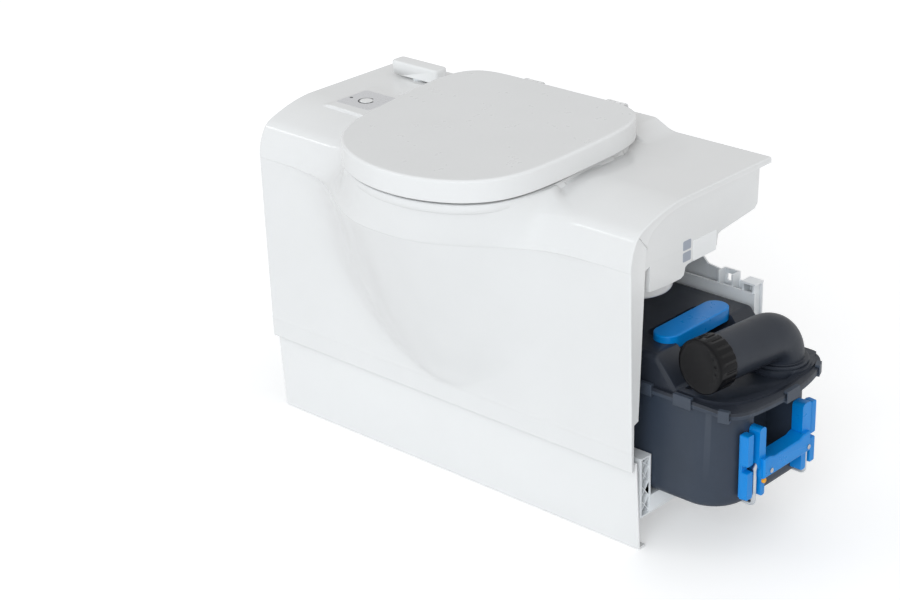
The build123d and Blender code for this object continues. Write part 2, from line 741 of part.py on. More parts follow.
with BuildPart() as button_spring:
    with BuildSketch(level(DECK_Z - 21)):
        with Locations(BUTTON):
            Circle(8)
            Circle(6.8, mode=Mode.SUBTRACT)
    extrude(amount=7.95)
save(button_spring, "button_spring", "silver")

with BuildPart() as button_housing:
    with BuildSketch(level(DECK_Z - 30)):
        with Locations((-258, y_at(110))):
            RectangleRounded(64, 56, 4)
    extrude(amount=24.4)
    with BuildSketch(level(DECK_Z - 21.2)):
        with Locations(BUTTON):
            Circle(13.4)
    extrude(amount=20, mode=Mode.SUBTRACT)
save(button_housing, "button_housing", "gray")

# ==================================================== blade handle and its drive rod ==
HANDLE_HALF_LENGTH = 48
HANDLE_WIDTH = 28
CRANK_RADIUS = 71.0                     # crank under the deck
CRANK_ANGLE = radians(-135)
CRANK_COS, CRANK_SIN = cos(CRANK_ANGLE), sin(CRANK_ANGLE)
PIN_X = HANDLE_X + CRANK_COS * CRANK_RADIUS
PIN_Y = HANDLE[1] + CRANK_SIN * CRANK_RADIUS
BUSH_BORE = 7.06

with BuildPart() as blade_handle:
    with BuildSketch(upright(HANDLE_DEPTH - HANDLE_WIDTH / 2)):
        with BuildLine():
            Polyline((HANDLE_X - HANDLE_HALF_LENGTH, 510.5),
                     (HANDLE_X - HANDLE_HALF_LENGTH, 529),
                     (HANDLE_X + HANDLE_HALF_LENGTH, 529),
                     (HANDLE_X + HANDLE_HALF_LENGTH, 507.8), (HANDLE_X - 20, 507.8))
            Spline((HANDLE_X - 20, 507.8), (HANDLE_X - 38, 508.6),
                   (HANDLE_X - HANDLE_HALF_LENGTH, 510.5))
        make_face()
    extrude(amount=-HANDLE_WIDTH)
    fillet(blade_handle.edges().filter_by(Axis.Z), 7)
    fillet(blade_handle.edges().group_by(Axis.Z)[-1], 3.5)
    with BuildSketch(level(500)):
        with Locations(HANDLE):
            Circle(SHAFT_RADIUS + 0.02)
    extrude(amount=16.05, mode=Mode.SUBTRACT)
save(blade_handle, "blade_handle", "white")

with BuildPart() as blade_handle_shaft:
    with BuildSketch(level(474)):
        with Locations(HANDLE):
            Circle(SHAFT_RADIUS)
    extrude(amount=42)
    # crank, tapering from the shaft to its pin
    with BuildSketch(level(476)):
        with Locations(HANDLE):
            Circle(12)
        with BuildLine():
            Polyline((HANDLE_X - CRANK_SIN * 8, HANDLE[1] + CRANK_COS * 8),
                     (PIN_X - CRANK_SIN * 6, PIN_Y + CRANK_COS * 6),
                     (PIN_X + CRANK_SIN * 6, PIN_Y - CRANK_COS * 6),
                     (HANDLE_X + CRANK_SIN * 8, HANDLE[1] - CRANK_COS * 8),
                     (HANDLE_X - CRANK_SIN * 8, HANDLE[1] + CRANK_COS * 8))
        make_face()
        with Locations((PIN_X, PIN_Y)):
            Circle(6)
    extrude(amount=5)
    with BuildSketch(level(464)):
        with Locations((PIN_X, PIN_Y)):
            Circle(3)
    extrude(amount=13)
save(blade_handle_shaft, "blade_handle_shaft", "gray")

with BuildPart() as handle_bush:
    # sleeve through the deck, then the wider part below it
    for radius, height in ((10.9, 21), (17, 14.2)):
        with BuildSketch(level(486)):
            with Locations(HANDLE):
                Circle(radius)
                Circle(BUSH_BORE, mode=Mode.SUBTRACT)
        extrude(amount=height)
save(handle_bush, "handle_bush", "gray")

ROD_Y = y_at(240)                       # middle of the drive rod
ROD_WIDTH = 8
ROD_END = -48                           # X of the rod's end at the bowl

with BuildPart() as blade_drive_rod:
    # plate with the cross slot for the crank pin, and the rod itself
    with BuildSketch(level(466)):
        with Locations((PIN_X, y_at(196))):
            RectangleRounded(22, 96, 6)
        with Locations((PIN_X, y_at(180))):
            SlotOverall(44, 11, rotation=90, mode=Mode.SUBTRACT)
        with Locations(((PIN_X + ROD_END) / 2, ROD_Y)):
            Rectangle(ROD_END - PIN_X, ROD_WIDTH)
    extrude(amount=5)
    # leg down to the tank
    with BuildSketch(level(300.5)):
        with Locations((-52, ROD_Y)):
            Rectangle(10, ROD_WIDTH)
    extrude(amount=170)
save(blade_drive_rod, "blade_drive_rod", "silver")

with BuildPart() as drive_rod_guides:
    for x in (-200.0, -80.0):
        with BuildSketch(section(x - 6)):
            Polygon(*side((232, 460), (260, 460), (279.4, 472), (279.4, 488), (232, 478)),
                    align=None)
            with Locations((ROD_Y, 468.5)):
                Rectangle(ROD_WIDTH + 0.2, 5.2, mode=Mode.SUBTRACT)
        extrude(amount=12)
save(drive_rod_guides, "drive_rod_guides", "gainsboro")

# ===================================================================== cassette tank ==
TANK_INNER, TANK_END = 24.0, 478.0      # X of the ends
TANK_FRONT, TANK_REAR = 27.0, 252.0     # depths of the sides
TANK_BOTTOM = 82.0
TANK_WALL = 3.2
FLANGE_Z = 243.0                        # joint of the two halves
FLANGE_THICK = 5
AXLE = (TANK_INNER + 26, 101.0)         # wheel axle, (x, height)
ROD_DEPTHS = (82.5, 205.0)              # trolley rods under the tank
INLET = (128.0, y_at(150.0))
INLET_RADIUS = 55
GRIP = (337.0, y_at(140.0))
GRIP_SCREWS = plan((337.0, 70), (337.0, 210))
SPOUT = (450.0, y_at(193.0))
SPOUT_NECK_RADIUS = 22
VENT = (374, y_at(176))

# (x, depth): curve round the +X end, from the front to the rear, and the rest of the outline
FLANGE_CURVE = plan(
    (462, 20.5), (487, 24), (501, 38), (508, 66), (511.5, 100), (512, 134), (509.5, 170),
    (502.5, 205), (489, 237), (470, 253), (448, 258))
FLANGE_SIDES = plan((448, 258), (44, 258), (20, 234), (20, 44), (44, 20.5), (462, 20.5))
RIM_CURVE = plan(
    (392, 31), (441, 30), (473, 43), (490, 72), (498.5, 108), (500, 144), (496.5, 188),
    (488, 226), (474, 246), (452, 252.5))
RIM_SIDES = plan((452, 252.5), (380, 252.5), (380, 31), (392, 31))
DISH_CURVE = plan(
    (400, 41.5), (441, 39.5), (465, 53), (481, 84), (489.5, 120), (490.5, 148), (485, 198),
    (476, 228), (462, 240), (440, 243))
DISH_SIDES = plan((440, 243), (400, 243), (400, 41.5))


def tank_loop(inset):
    """Corners of the lower tank in plan, moved in."""
    inner, end = TANK_INNER + inset, TANK_END - inset
    front, rear = TANK_FRONT + inset, TANK_REAR - inset
    return plan((inner, front), (end, front), (end, rear), (inner, rear))


with BuildPart() as tank_void:
    with BuildSketch(level(TANK_BOTTOM + TANK_WALL + 11)):
        Polygon(*tank_loop(TANK_WALL), align=None)
    extrude(amount=FLANGE_Z - TANK_BOTTOM)
    fillet(tank_void.edges().filter_by(Axis.Z).group_by(Axis.X)[-1], 55)
    fillet(tank_void.edges().filter_by(Axis.Z).group_by(Axis.X)[0], 25)
    fillet(tank_void.edges().group_by(Axis.Z)[0], 12)
    # wall round the hand recess
    with BuildSketch(section(TANK_END + 5)):
        with Locations((y_at(143), 170)):
            RectangleRounded(96 + 2 * TANK_WALL, 116 + 2 * TANK_WALL, 17)
    extrude(amount=-(50 + TANK_WALL), mode=Mode.SUBTRACT)
    # room for the wheel wells and the axle tube
    with BuildSketch(level(90)):
        with Locations(*plan((AXLE[0], 42), (AXLE[0], 242))):
            Rectangle(62, 36)
    extrude(amount=42, mode=Mode.SUBTRACT)
    with BuildSketch(upright(24)):
        with Locations(AXLE):
            Circle(8.0)
    extrude(amount=-236, mode=Mode.SUBTRACT)

with BuildPart() as tank_lower:
    with BuildSketch(level(TANK_BOTTOM)):
        Polygon(*tank_loop(0), align=None)
    extrude(amount=FLANGE_Z - TANK_BOTTOM)
    fillet(tank_lower.edges().filter_by(Axis.Z).group_by(Axis.X)[-1], 58)
    fillet(tank_lower.edges().filter_by(Axis.Z).group_by(Axis.X)[0], 28)
    fillet(tank_lower.edges().group_by(Axis.Z)[0], 16)
    # flange
    with BuildSketch(level(FLANGE_Z - FLANGE_THICK)):
        with BuildLine():
            Spline(*FLANGE_CURVE, tangents=[(1, 0), (-1, 0)], tangent_scalars=(0.6, 0.6))
            Polyline(*FLANGE_SIDES)
        make_face()
    extrude(amount=FLANGE_THICK)
    # hand recess behind the pull handle
    with BuildSketch(section(TANK_END + 5)):
        with Locations((y_at(143), 170)):
            RectangleRounded(96, 116, 14)
    extrude(amount=-50, mode=Mode.SUBTRACT)
    add(tank_void.part, mode=Mode.SUBTRACT)
    # grooves in the underside for the trolley rods
    for depth in ROD_DEPTHS:
        with BuildSketch(level(TANK_BOTTOM - 1)):
            with Locations(((150 + TANK_END) / 2, y_at(depth))):
                Rectangle(TANK_END - 150 + 4, 10)
        extrude(amount=11.6, mode=Mode.SUBTRACT)
    # wheel wells and axle hole at the inner end
    with BuildSketch(level(TANK_BOTTOM - 1)):
        with Locations(*plan((TANK_INNER + 24, 40), (TANK_INNER + 24, 244))):
            Rectangle(56, 30)
    extrude(amount=47, mode=Mode.SUBTRACT)
    with BuildSketch(upright(20)):
        with Locations(AXLE):
            Circle(4.0)
    extrude(amount=-244, mode=Mode.SUBTRACT)
save(tank_lower, "tank_lower", "darkslategray")

with BuildPart() as tank_upper_void:
    with BuildSketch(upright(30.2)):
        Polygon((27.4, 240), (27.4, 283), (34, 289.8), (357.5, 289.8), (388, 254.4),
                (391, 244.4), (391, 240), align=None)
    extrude(amount=-218.6)
    # material kept round the hollow of the grip
    with BuildSketch(level(254.6)):
        with Locations((370, y_at(140))):
            RectangleRounded(144, 131, 20)
    extrude(amount=50, mode=Mode.SUBTRACT)
    with BuildSketch(level(280.6)):
        with Locations(GRIP):
            SlotOverall(158, 48, rotation=90)
    extrude(amount=20, mode=Mode.SUBTRACT)

with BuildPart() as tank_upper:
    # hump that holds the inlet and the grip
    with BuildSketch(upright(TANK_FRONT)):
        Polygon((24, 243), (24, 284), (33, 293), (359.5, 293), (391.5, 255.5), (398, 243),
                align=None)
    extrude(amount=TANK_FRONT - TANK_REAR)
    fillet(tank_upper.edges().filter_by(Axis.X).group_by(Axis.Z)[-1], 9)
    fillet(tank_upper.edges().filter_by(Axis.Y).group_by(Axis.Z)[-1].sort_by(Axis.X)[-1], 7)
    # flange
    with BuildSketch(level(FLANGE_Z)):
        with BuildLine():
            Spline(*FLANGE_CURVE, tangents=[(1, 0), (-1, 0)], tangent_scalars=(0.6, 0.6))
            Polyline(*FLANGE_SIDES)
        make_face()
    extrude(amount=FLANGE_THICK)
    # end deck with its raised rim
    with BuildSketch(level(FLANGE_Z)):
        with BuildLine():
            Spline(*RIM_CURVE, tangents=[(1, 0), (-1, 0)])
            Polyline(*RIM_SIDES)
        make_face()
    extrude(amount=9)
    with BuildSketch(level(FLANGE_Z + 4.4)):
        with BuildLine():
            Spline(*DISH_CURVE, tangents=[(1, 0), (-1, 0)])
            Polyline(*DISH_SIDES)
        make_face()
    extrude(amount=5, mode=Mode.SUBTRACT)
    # hollow of the grip
    with BuildSketch(level(258)):
        with Locations((370, y_at(140))):
            RectangleRounded(138, 124.6, 17)
    extrude(amount=40, mode=Mode.SUBTRACT)
    with BuildSketch(level(284)):
        with Locations(GRIP):
            SlotOverall(151, 41, rotation=90)
    extrude(amount=12, mode=Mode.SUBTRACT)
    # underside
    add(tank_upper_void.part, mode=Mode.SUBTRACT)
    # boss under the spout
    with BuildSketch(level(FLANGE_Z)):
        with Locations(SPOUT):
            Circle(45)
    extrude(amount=13)
    with BuildSketch(level(FLANGE_Z - 1)):
        with Locations(SPOUT):
            Circle(SPOUT_NECK_RADIUS + 0.06)
    extrude(amount=20, mode=Mode.SUBTRACT)
    # inlet, slot of the blade tab, vent hole and grip screw holes
    with BuildSketch(level(280)):
        with Locations(INLET):
            Circle(INLET_RADIUS)
        with Locations((115, y_at(240))):
            SlotOverall(128, 9.6)
    extrude(amount=20, mode=Mode.SUBTRACT)
    with BuildSketch(level(250)):
        with Locations(VENT):
            Circle(6.1)
    extrude(amount=20, mode=Mode.SUBTRACT)
    with BuildSketch(level(270)):
        with Locations(*GRIP_SCREWS):
            Circle(2.0)
    extrude(amount=20, mode=Mode.SUBTRACT)
save(tank_upper, "tank_upper", "darkslategray")

# clips that hold the two halves together:
# (x, depth, inward direction in degrees, half length)
CLIPS = [
    (70, 20.5, 90, 15), (170, 20.5, 90, 15), (270, 20.5, 90, 15), (345, 20.5, 90, 15),
    (412, 20.5, 90, 15), (482, 18.3, 104, 8), (513.0, 134, 180, 15),
    (496.6, 222.7, 203, 8), (120, 258, -90, 15), (240, 258, -90, 15), (360, 258, -90, 15),
]
# channel profile, (distance inwards, height)
CLIP_PROFILE = [(-2.2, 234.3), (5.0, 234.3), (5.0, 237.9), (-0.2, 237.9), (-0.2, 248.1),
                (5.0, 248.1), (5.0, 251.8), (-2.2, 251.8)]

with BuildPart() as flange_clips:
    for x, depth, inward, half_length in CLIPS:
        inward_x, inward_y = cos(radians(inward)), sin(radians(inward))
        with BuildSketch(Plane(origin=(x, y_at(depth), 0), x_dir=(inward_x, inward_y, 0),
                               z_dir=(inward_y, -inward_x, 0))):
            Polygon(*CLIP_PROFILE, align=None)
        extrude(amount=half_length, both=True)
save(flange_clips, "flange_clips", "darkslategray")

# ----------------------------------------------------------------------- slide valve --
with BuildPart() as valve_ring:
    with BuildSketch(level(293.05)):
        with Locations(INLET):
            Circle(80)
            Circle(INLET_RADIUS, mode=Mode.SUBTRACT)
    extrude(amount=2.6)
    fillet(valve_ring.edges().group_by(Axis.Z)[-1], 1.0)
save(valve_ring, "valve_ring", "black")

with BuildPart() as valve_lip_seal:
    with BuildSketch(level(287.3)):
        with Locations(INLET):
            Circle(61)
            Circle(INLET_RADIUS + 0.5, mode=Mode.SUBTRACT)
    extrude(amount=2.4)
save(valve_lip_seal, "valve_lip_seal", "dimgray")

with BuildPart() as slide_blade:
    # blade, with an arm to the rear and along to the tab
    with BuildSketch(level(284)):
        with Locations((127, y_at(151))):
            RectangleRounded(122, 128, 16)
        with Locations((92, y_at(228.5))):
            Rectangle(8, 29)
        with Locations((77, y_at(240))):
            Rectangle(38, 6)
    extrude(amount=3.2)
    # tab that stands up through the slot
    with BuildSketch(level(285)):
        with Locations((62.2, y_at(240))):
            Rectangle(7.6, 6)
    extrude(amount=21)
save(slide_blade, "slide_blade", "dimgray")

GUIDE_START, GUIDE_END = 62.0, 294.0
REAR_GUIDE_SIDE = side((220, 289.7), (215.2, 289.7), (215.2, 281), (220, 281))
# (start x, end x, profile): front guide, rear guide floor, rear guide sides with a gap for
# the blade arm
BLADE_GUIDES = [
    (GUIDE_START, GUIDE_END, side((82, 289.7), (86.9, 289.7), (86.9, 283.9), (91, 283.9),
                                  (91, 281), (82, 281))),
    (GUIDE_START, GUIDE_END, side((220, 281), (211, 281), (211, 283.9), (220, 283.9))),
    (GUIDE_START, 82.0, REAR_GUIDE_SIDE),
    (202.0, GUIDE_END, REAR_GUIDE_SIDE),
]

with BuildPart() as blade_guides:
    for start, end, profile in BLADE_GUIDES:
        with BuildSketch(section(start)):
            Polygon(*profile, align=None)
        extrude(amount=end - start)
save(blade_guides, "blade_guides", "dimgray")

# ------------------------------------------------------------------------------ grip --
with BuildPart() as carry_grip:
    with BuildSketch(level(284.1)):
        with Locations(GRIP):
            SlotOverall(150, 40, rotation=90)
    extrude(amount=19.4)
    fillet(carry_grip.edges().group_by(Axis.Z)[-1], 2.6)
    with BuildSketch(level(284)):
        with Locations(GRIP):
            SlotOverall(122, 33, rotation=90)
    extrude(amount=15, mode=Mode.SUBTRACT)
    with BuildSketch(level(283)):
        with Locations(*GRIP_SCREWS):
            Circle(1.8)
    extrude(amount=12, mode=Mode.SUBTRACT)
save(carry_grip, "carry_grip", "dodgerblue")

with BuildPart() as grip_screws:
    # shank, then head
    for radius, height in ((1.78, 20), (3.2, 2.5)):
        with BuildSketch(level(272)):
            with Locations(*GRIP_SCREWS):
                Circle(radius)
        extrude(amount=height)
save(grip_screws, "grip_screws", "silver")

# ----------------------------------------------------------------------------- spout --
SPOUT_ANGLE = radians(6.0)              # turn of the spout from straight forward to -X
SPOUT_DIR = Vector(-sin(SPOUT_ANGLE), -cos(SPOUT_ANGLE), 0)
# upright plane through the tube: (distance from the swivel axis, height)
SPOUT_PLANE = Plane(origin=(*SPOUT, 0), x_dir=SPOUT_DIR,
                    z_dir=SPOUT_DIR.cross(Vector(0, 0, 1)))
SPOUT_Z = 297.5                         # height of the tube's axis
SPOUT_BEND = 35.2                       # bend radius
SPOUT_FOOT = 257                        # height at which the tube starts
BEND_Z = SPOUT_Z - SPOUT_BEND
SPOUT_END = 158                         # end of the tube from the swivel axis
CAP_RADIUS = 39.4
CAP_BORE = 34.9


def spout_station(distance):
    """Plane across the spout tube, at a distance from the swivel axis."""
    origin = Vector(*SPOUT, SPOUT_Z) + SPOUT_DIR * distance
    return Plane(origin=origin, x_dir=Vector(0, 0, 1), z_dir=SPOUT_DIR)


with BuildPart() as spout_elbow:
    with BuildLine(SPOUT_PLANE) as elbow_path:
        Line((0, SPOUT_FOOT), (0, BEND_Z))
        ThreePointArc((0, BEND_Z),
                      (SPOUT_BEND * (1 - cos(pi / 4)), BEND_Z + SPOUT_BEND * sin(pi / 4)),
                      (SPOUT_BEND, SPOUT_Z))
        Line((SPOUT_BEND, SPOUT_Z), (SPOUT_END, SPOUT_Z))
    with BuildSketch(level(SPOUT_FOOT)):
        with Locations(SPOUT):
            Circle(34.6)
    sweep(path=elbow_path.wires()[0])
    # foot flange and swivel neck
    for bottom, radius, height in ((256.2, 41, 4.6), (238, SPOUT_NECK_RADIUS, 22)):
        with BuildSketch(level(bottom)):
            with Locations(SPOUT):
                Circle(radius)
        extrude(amount=height)
    with BuildSketch(level(SPOUT_FOOT)):
        with Locations(SPOUT):
            Circle(31.4)
    sweep(path=elbow_path.wires()[0], mode=Mode.SUBTRACT)
    with BuildSketch(level(237)):
        with Locations(SPOUT):
            Circle(18.5)
    extrude(amount=24, mode=Mode.SUBTRACT)
save(spout_elbow, "spout_elbow", "darkslategray")

with BuildPart() as spout_retainer:
    with BuildSketch(level(239)):
        with Locations(SPOUT):
            Circle(24.2)
            Circle(SPOUT_NECK_RADIUS + 0.02, mode=Mode.SUBTRACT)
    extrude(amount=3.5)
save(spout_retainer, "spout_retainer", "black")

with BuildPart() as spout_cap:
    # skirt with grip notches
    with BuildSketch(spout_station(133)):
        Circle(CAP_RADIUS)
        Circle(CAP_BORE, mode=Mode.SUBTRACT)
        with PolarLocations(40.2, 20):
            Rectangle(3.4, 4.0, mode=Mode.SUBTRACT)
    extrude(amount=21)
    # inner sleeve, then the plain ring beyond the notches
    for distance, radius, length in ((133, 38.4, 25), (154, CAP_RADIUS, 5)):
        with BuildSketch(spout_station(distance)):
            Circle(radius)
            Circle(CAP_BORE, mode=Mode.SUBTRACT)
        extrude(amount=length)
    # end disc with a shallow dish
    with BuildSketch(spout_station(158.6)):
        Circle(CAP_RADIUS)
    extrude(amount=6.4)
    fillet(spout_cap.edges().filter_by(GeomType.CIRCLE).sort_by(
        Axis((0, 0, 0), (SPOUT_DIR.X, SPOUT_DIR.Y, 0)))[-1], 2.6)
    with BuildSketch(spout_station(162.2)):
        Circle(24)
    with BuildSketch(spout_station(165.3)):
        Circle(34.2)
    loft(ruled=True, mode=Mode.SUBTRACT)
save(spout_cap, "spout_cap", "black")

with BuildPart() as cap_seal:
    with BuildSketch(spout_station(SPOUT_END + 0.05)):
        Circle(34.5)
        Circle(31.5, mode=Mode.SUBTRACT)
    extrude(amount=0.5)
save(cap_seal, "cap_seal", "dimgray")

with BuildPart() as vent_button:
    with BuildSketch(level(262)):
        with Locations(VENT):
            Circle(10)
    extrude(amount=5)
    fillet(vent_button.edges().group_by(Axis.Z)[-1], 1.5)
    # stem, then the flange below it
    for bottom, radius, height in ((250.2, 6.0, 12), (246, 9.4, 4.4)):
        with BuildSketch(level(bottom)):
            with Locations(VENT):
                Circle(radius)
        extrude(amount=height)
save(vent_button, "vent_button", "dodgerblue")

# ----------------------------------------------------------- pull handle and trolley --
# (front depth, rear depth, bottom, top, gap between the two pads of the clip)
SIDE_CLIPS = [(61.0, 76.5, 99.0, 199.0, (142, 150.5)),
              (213.5, 227.0, 97.0, 194.0, (137.5, 142))]

with BuildPart() as side_clips:
    for front, rear, bottom, top, gap in SIDE_CLIPS:
        middle_y = y_at((front + rear) / 2)
        # backing strip
        with BuildSketch(section(TANK_END + 0.1)):
            with Locations((middle_y, (bottom + top) / 2)):
                RectangleRounded(rear - front - 3, top - bottom - 3, 2)
        extrude(amount=5)
        for low, high in ((bottom, gap[0]), (gap[1], top)):
            with BuildSketch(section(TANK_END + 3)):
                with Locations((middle_y, (low + high) / 2)):
                    RectangleRounded(rear - front, high - low, 3.5)
            extrude(amount=12, taper=4)
    fillet(side_clips.faces().group_by(Axis.X)[-1].edges(), 1.2)
save(side_clips, "side_clips", "dodgerblue")

ROD_RADIUS = 3.75
ROD_BEND = 5.5
ROD_X = 490                             # X of the upright ends of the rods
# Y of the run under the tank, and Y of the upper end, of each rod
ROD_LINES = [(y_at(ROD_DEPTHS[0]), y_at(89.5)), (y_at(ROD_DEPTHS[1]), y_at(199.0))]

with BuildPart() as trolley_rods:
    for run_y, top_y in ROD_LINES:
        with BuildLine() as rod_path:
            FilletPolyline((ROD_X, top_y, 160), (ROD_X, top_y, 151), (ROD_X, run_y, 141),
                           (ROD_X, run_y, 87.2), (170, run_y, 87.2), radius=ROD_BEND)
        with BuildSketch(Plane(origin=(ROD_X, top_y, 160), z_dir=(0, 0, -1))):
            Circle(ROD_RADIUS)
        sweep(path=rod_path.wires()[0])
save(trolley_rods, "trolley_rods", "silver")

# pockets of the handle arms for the upper ends of the rods
with BuildPart() as rod_pockets:
    for run_y, top_y in ROD_LINES:
        with BuildLine() as pocket_path:
            FilletPolyline((ROD_X, top_y, 160.4), (ROD_X, top_y, 151), (ROD_X, run_y, 141),
                           (ROD_X, run_y, 92), radius=ROD_BEND)
        with BuildSketch(Plane(origin=(ROD_X, top_y, 160.4), z_dir=(0, 0, -1))):
            Circle(ROD_RADIUS + 0.05)
        sweep(path=pocket_path.wires()[0])

# upper and lower piece of the front arm, then of the rear arm:
# (depth of the middle, height of the middle, width, height, corner radius)
HANDLE_ARMS = [(91.5, 171.5, 15, 63, 6), (94.2, 123, 9.6, 50, 3),
               (197.5, 170, 21, 60, 6), (192.8, 123, 11.6, 52, 3)]
CROSS_BAR = side((88, 127), (200, 127), (200, 157), (182, 157), (174, 153.5), (112, 153.5),
                 (103, 157), (88, 157))
HANDLE_SCREWS = side((104, 135), (194, 135))
RELEASE = (y_at(95), 121.0)             # release button, (y, height)

with BuildPart() as pull_handle:
    with BuildSketch(section(TANK_END + 0.6)):
        for depth, height, width, tall, radius in HANDLE_ARMS:
            with Locations((y_at(depth), height)):
                RectangleRounded(width, tall, radius)
    extrude(amount=18)
    with BuildSketch(section(TANK_END + 0.6)):
        Polygon(*CROSS_BAR, align=None)
    extrude(amount=25)
    fillet(pull_handle.faces().group_by(Axis.X)[-1].edges(), 3)
    add(rod_pockets.part, mode=Mode.SUBTRACT)
    with BuildSketch(section(TANK_END + 8)):
        with Locations(RELEASE):
            Circle(4.1)
    extrude(amount=30, mode=Mode.SUBTRACT)
    with BuildSketch(section(TANK_END + 18)):
        with Locations(*HANDLE_SCREWS):
            Circle(2.0)
    extrude(amount=12, mode=Mode.SUBTRACT)
save(pull_handle, "pull_handle", "dodgerblue")

with BuildPart() as handle_screws:
    # shank, then head
    for start, radius, length in ((18, 1.95, 7.6), (25.65, 3.6, 1.3)):
        with BuildSketch(section(TANK_END + start)):
            with Locations(*HANDLE_SCREWS):
                Circle(radius)
        extrude(amount=length)
save(handle_screws, "handle_screws", "silver")

with BuildPart() as release_button:
    with BuildSketch(section(TANK_END + 12.2)):
        with Locations(RELEASE):
            Circle(4.0)
    extrude(amount=10)
    fillet(release_button.edges().group_by(Axis.X)[-1], 1.6)
save(release_button, "release_button", "orange")

with BuildPart() as rod_keepers:
    with BuildSketch(level(80)):
        with Locations(*[(x, y_at(depth)) for x in (200, 400) for depth in ROD_DEPTHS]):
            RectangleRounded(24, 30, 3)
    extrude(amount=1.9)
save(rod_keepers, "rod_keepers", "dimgray")

with BuildPart() as wheel_axle:
    with BuildSketch(upright(28.5)):
        with Locations(AXLE):
            Circle(3.95)
    extrude(amount=-227)
save(wheel_axle, "wheel_axle", "silver")

# the near wheel is at the front
for name, front in (("wheel_near", 32), ("wheel_far", 236)):
    with BuildPart() as wheel:
        with BuildSketch(upright(front)):
            with Locations(AXLE):
                Circle(20)
                Circle(4.0, mode=Mode.SUBTRACT)
        extrude(amount=-16)
        fillet(wheel.edges().filter_by(GeomType.CIRCLE).group_by(SortBy.LENGTH)[-1], 2)
    save(wheel, name, "dimgray")

# ---------------------------------------------------------- level float in the tank --
FLOAT_PIVOT = (300, 231.5)              # (x, height)

with BuildPart() as float_arm:
    with BuildSketch(upright(138)):
        Polygon((300, 234), (302, 229), (214, 166), (211, 170), align=None)
        with Locations(FLOAT_PIVOT):
            Circle(6)
            Circle(2.05, mode=Mode.SUBTRACT)
    extrude(amount=-4)
    # float
    with BuildSketch(upright(122)):
        with Locations((206, 163)):
            Circle(16)
    extrude(amount=-36)
    fillet(float_arm.edges().filter_by(GeomType.CIRCLE).group_by(SortBy.LENGTH)[-1], 5)
save(float_arm, "float_arm", "lightyellow")

with BuildPart() as float_bracket:
    with BuildSketch(level(253)):
        with Locations((304, y_at(140))):
            Rectangle(22, 22)
    extrude(amount=1.5)
    # cheeks on both sides of the arm, then the pivot pin
    for depth in (131.0, 145.0):
        with BuildSketch(upright(depth)):
            Polygon((295, 253.5), (313, 253.5), (306, 226), (294, 226), align=None)
        extrude(amount=-4)
    with BuildSketch(upright(130)):
        with Locations(FLOAT_PIVOT):
            Circle(2.0)
    extrude(amount=-20)
save(float_bracket, "float_bracket", "dimgray")

# ====================================================================== bench screws ==
with BuildPart() as shell_screws:
    for x in (-300.0, -150.0, 0.0, 150.0, 300.0):
        with BuildSketch(upright(-1.5)):
            with Locations((x, 134)):
                Circle(3.4)
        extrude(amount=-2.2)
save(shell_screws, "shell_screws", "silver")
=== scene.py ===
"""Bench toilet: a white bench shell round a bowl with a seat and hinged lid, and a wheeled tank.

Frame: X runs along the bench (+X is right seen from the front), -Y is the front, +Z is up.
Sizes are in mm and become metres when a mesh is made. Depth d counts backwards from the front
face of the plinth at floor level, so y = d + PLINTH_Y.
"""
import json
import math

import bmesh
import bpy
import numpy as np
from mathutils import Matrix, Vector


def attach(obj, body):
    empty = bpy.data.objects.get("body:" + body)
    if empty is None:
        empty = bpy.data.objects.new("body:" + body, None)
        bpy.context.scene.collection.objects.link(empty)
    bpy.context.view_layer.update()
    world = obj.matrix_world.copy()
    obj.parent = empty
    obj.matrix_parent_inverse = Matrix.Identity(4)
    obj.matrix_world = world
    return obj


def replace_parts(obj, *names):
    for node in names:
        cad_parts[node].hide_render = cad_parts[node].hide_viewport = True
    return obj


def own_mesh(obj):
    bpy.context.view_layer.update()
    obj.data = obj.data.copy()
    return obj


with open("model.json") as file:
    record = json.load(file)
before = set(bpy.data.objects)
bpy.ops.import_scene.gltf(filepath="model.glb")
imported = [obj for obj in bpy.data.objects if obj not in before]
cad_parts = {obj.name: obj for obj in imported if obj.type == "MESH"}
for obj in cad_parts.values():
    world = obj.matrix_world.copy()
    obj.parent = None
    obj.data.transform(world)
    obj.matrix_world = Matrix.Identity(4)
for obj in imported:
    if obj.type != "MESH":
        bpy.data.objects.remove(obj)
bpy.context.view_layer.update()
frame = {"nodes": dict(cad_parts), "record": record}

MM = 0.001                  # metres in a millimetre
PLINTH_Y = -150.0           # front face of the plinth at floor level
HALF_LENGTH = 357.5         # half length of the bench
CENTRE_X = 24.0             # centreline of the lid and the bowl
BOWL_D = 50.0               # depth of the bowl centre
SEAT_SLOPE = 0.06           # rise of the seat plane towards the rear
OPENING_HALF = (131.0, 153.0)   # half width and half depth of the bowl opening
WALL_FOOT_Z = 130.5         # lower edge of the bench shell
BREAK_Z = 431.5             # fine line round the shell, below the crown
TOP_Z = 504.0               # flat top of the bench

PIECES = frame["nodes"]
BODY_OF = {
    piece: body
    for body, pieces in frame["record"]["behaviour"]["bodies"].items()
    for piece in pieces
}


# ============================================================== materials ===


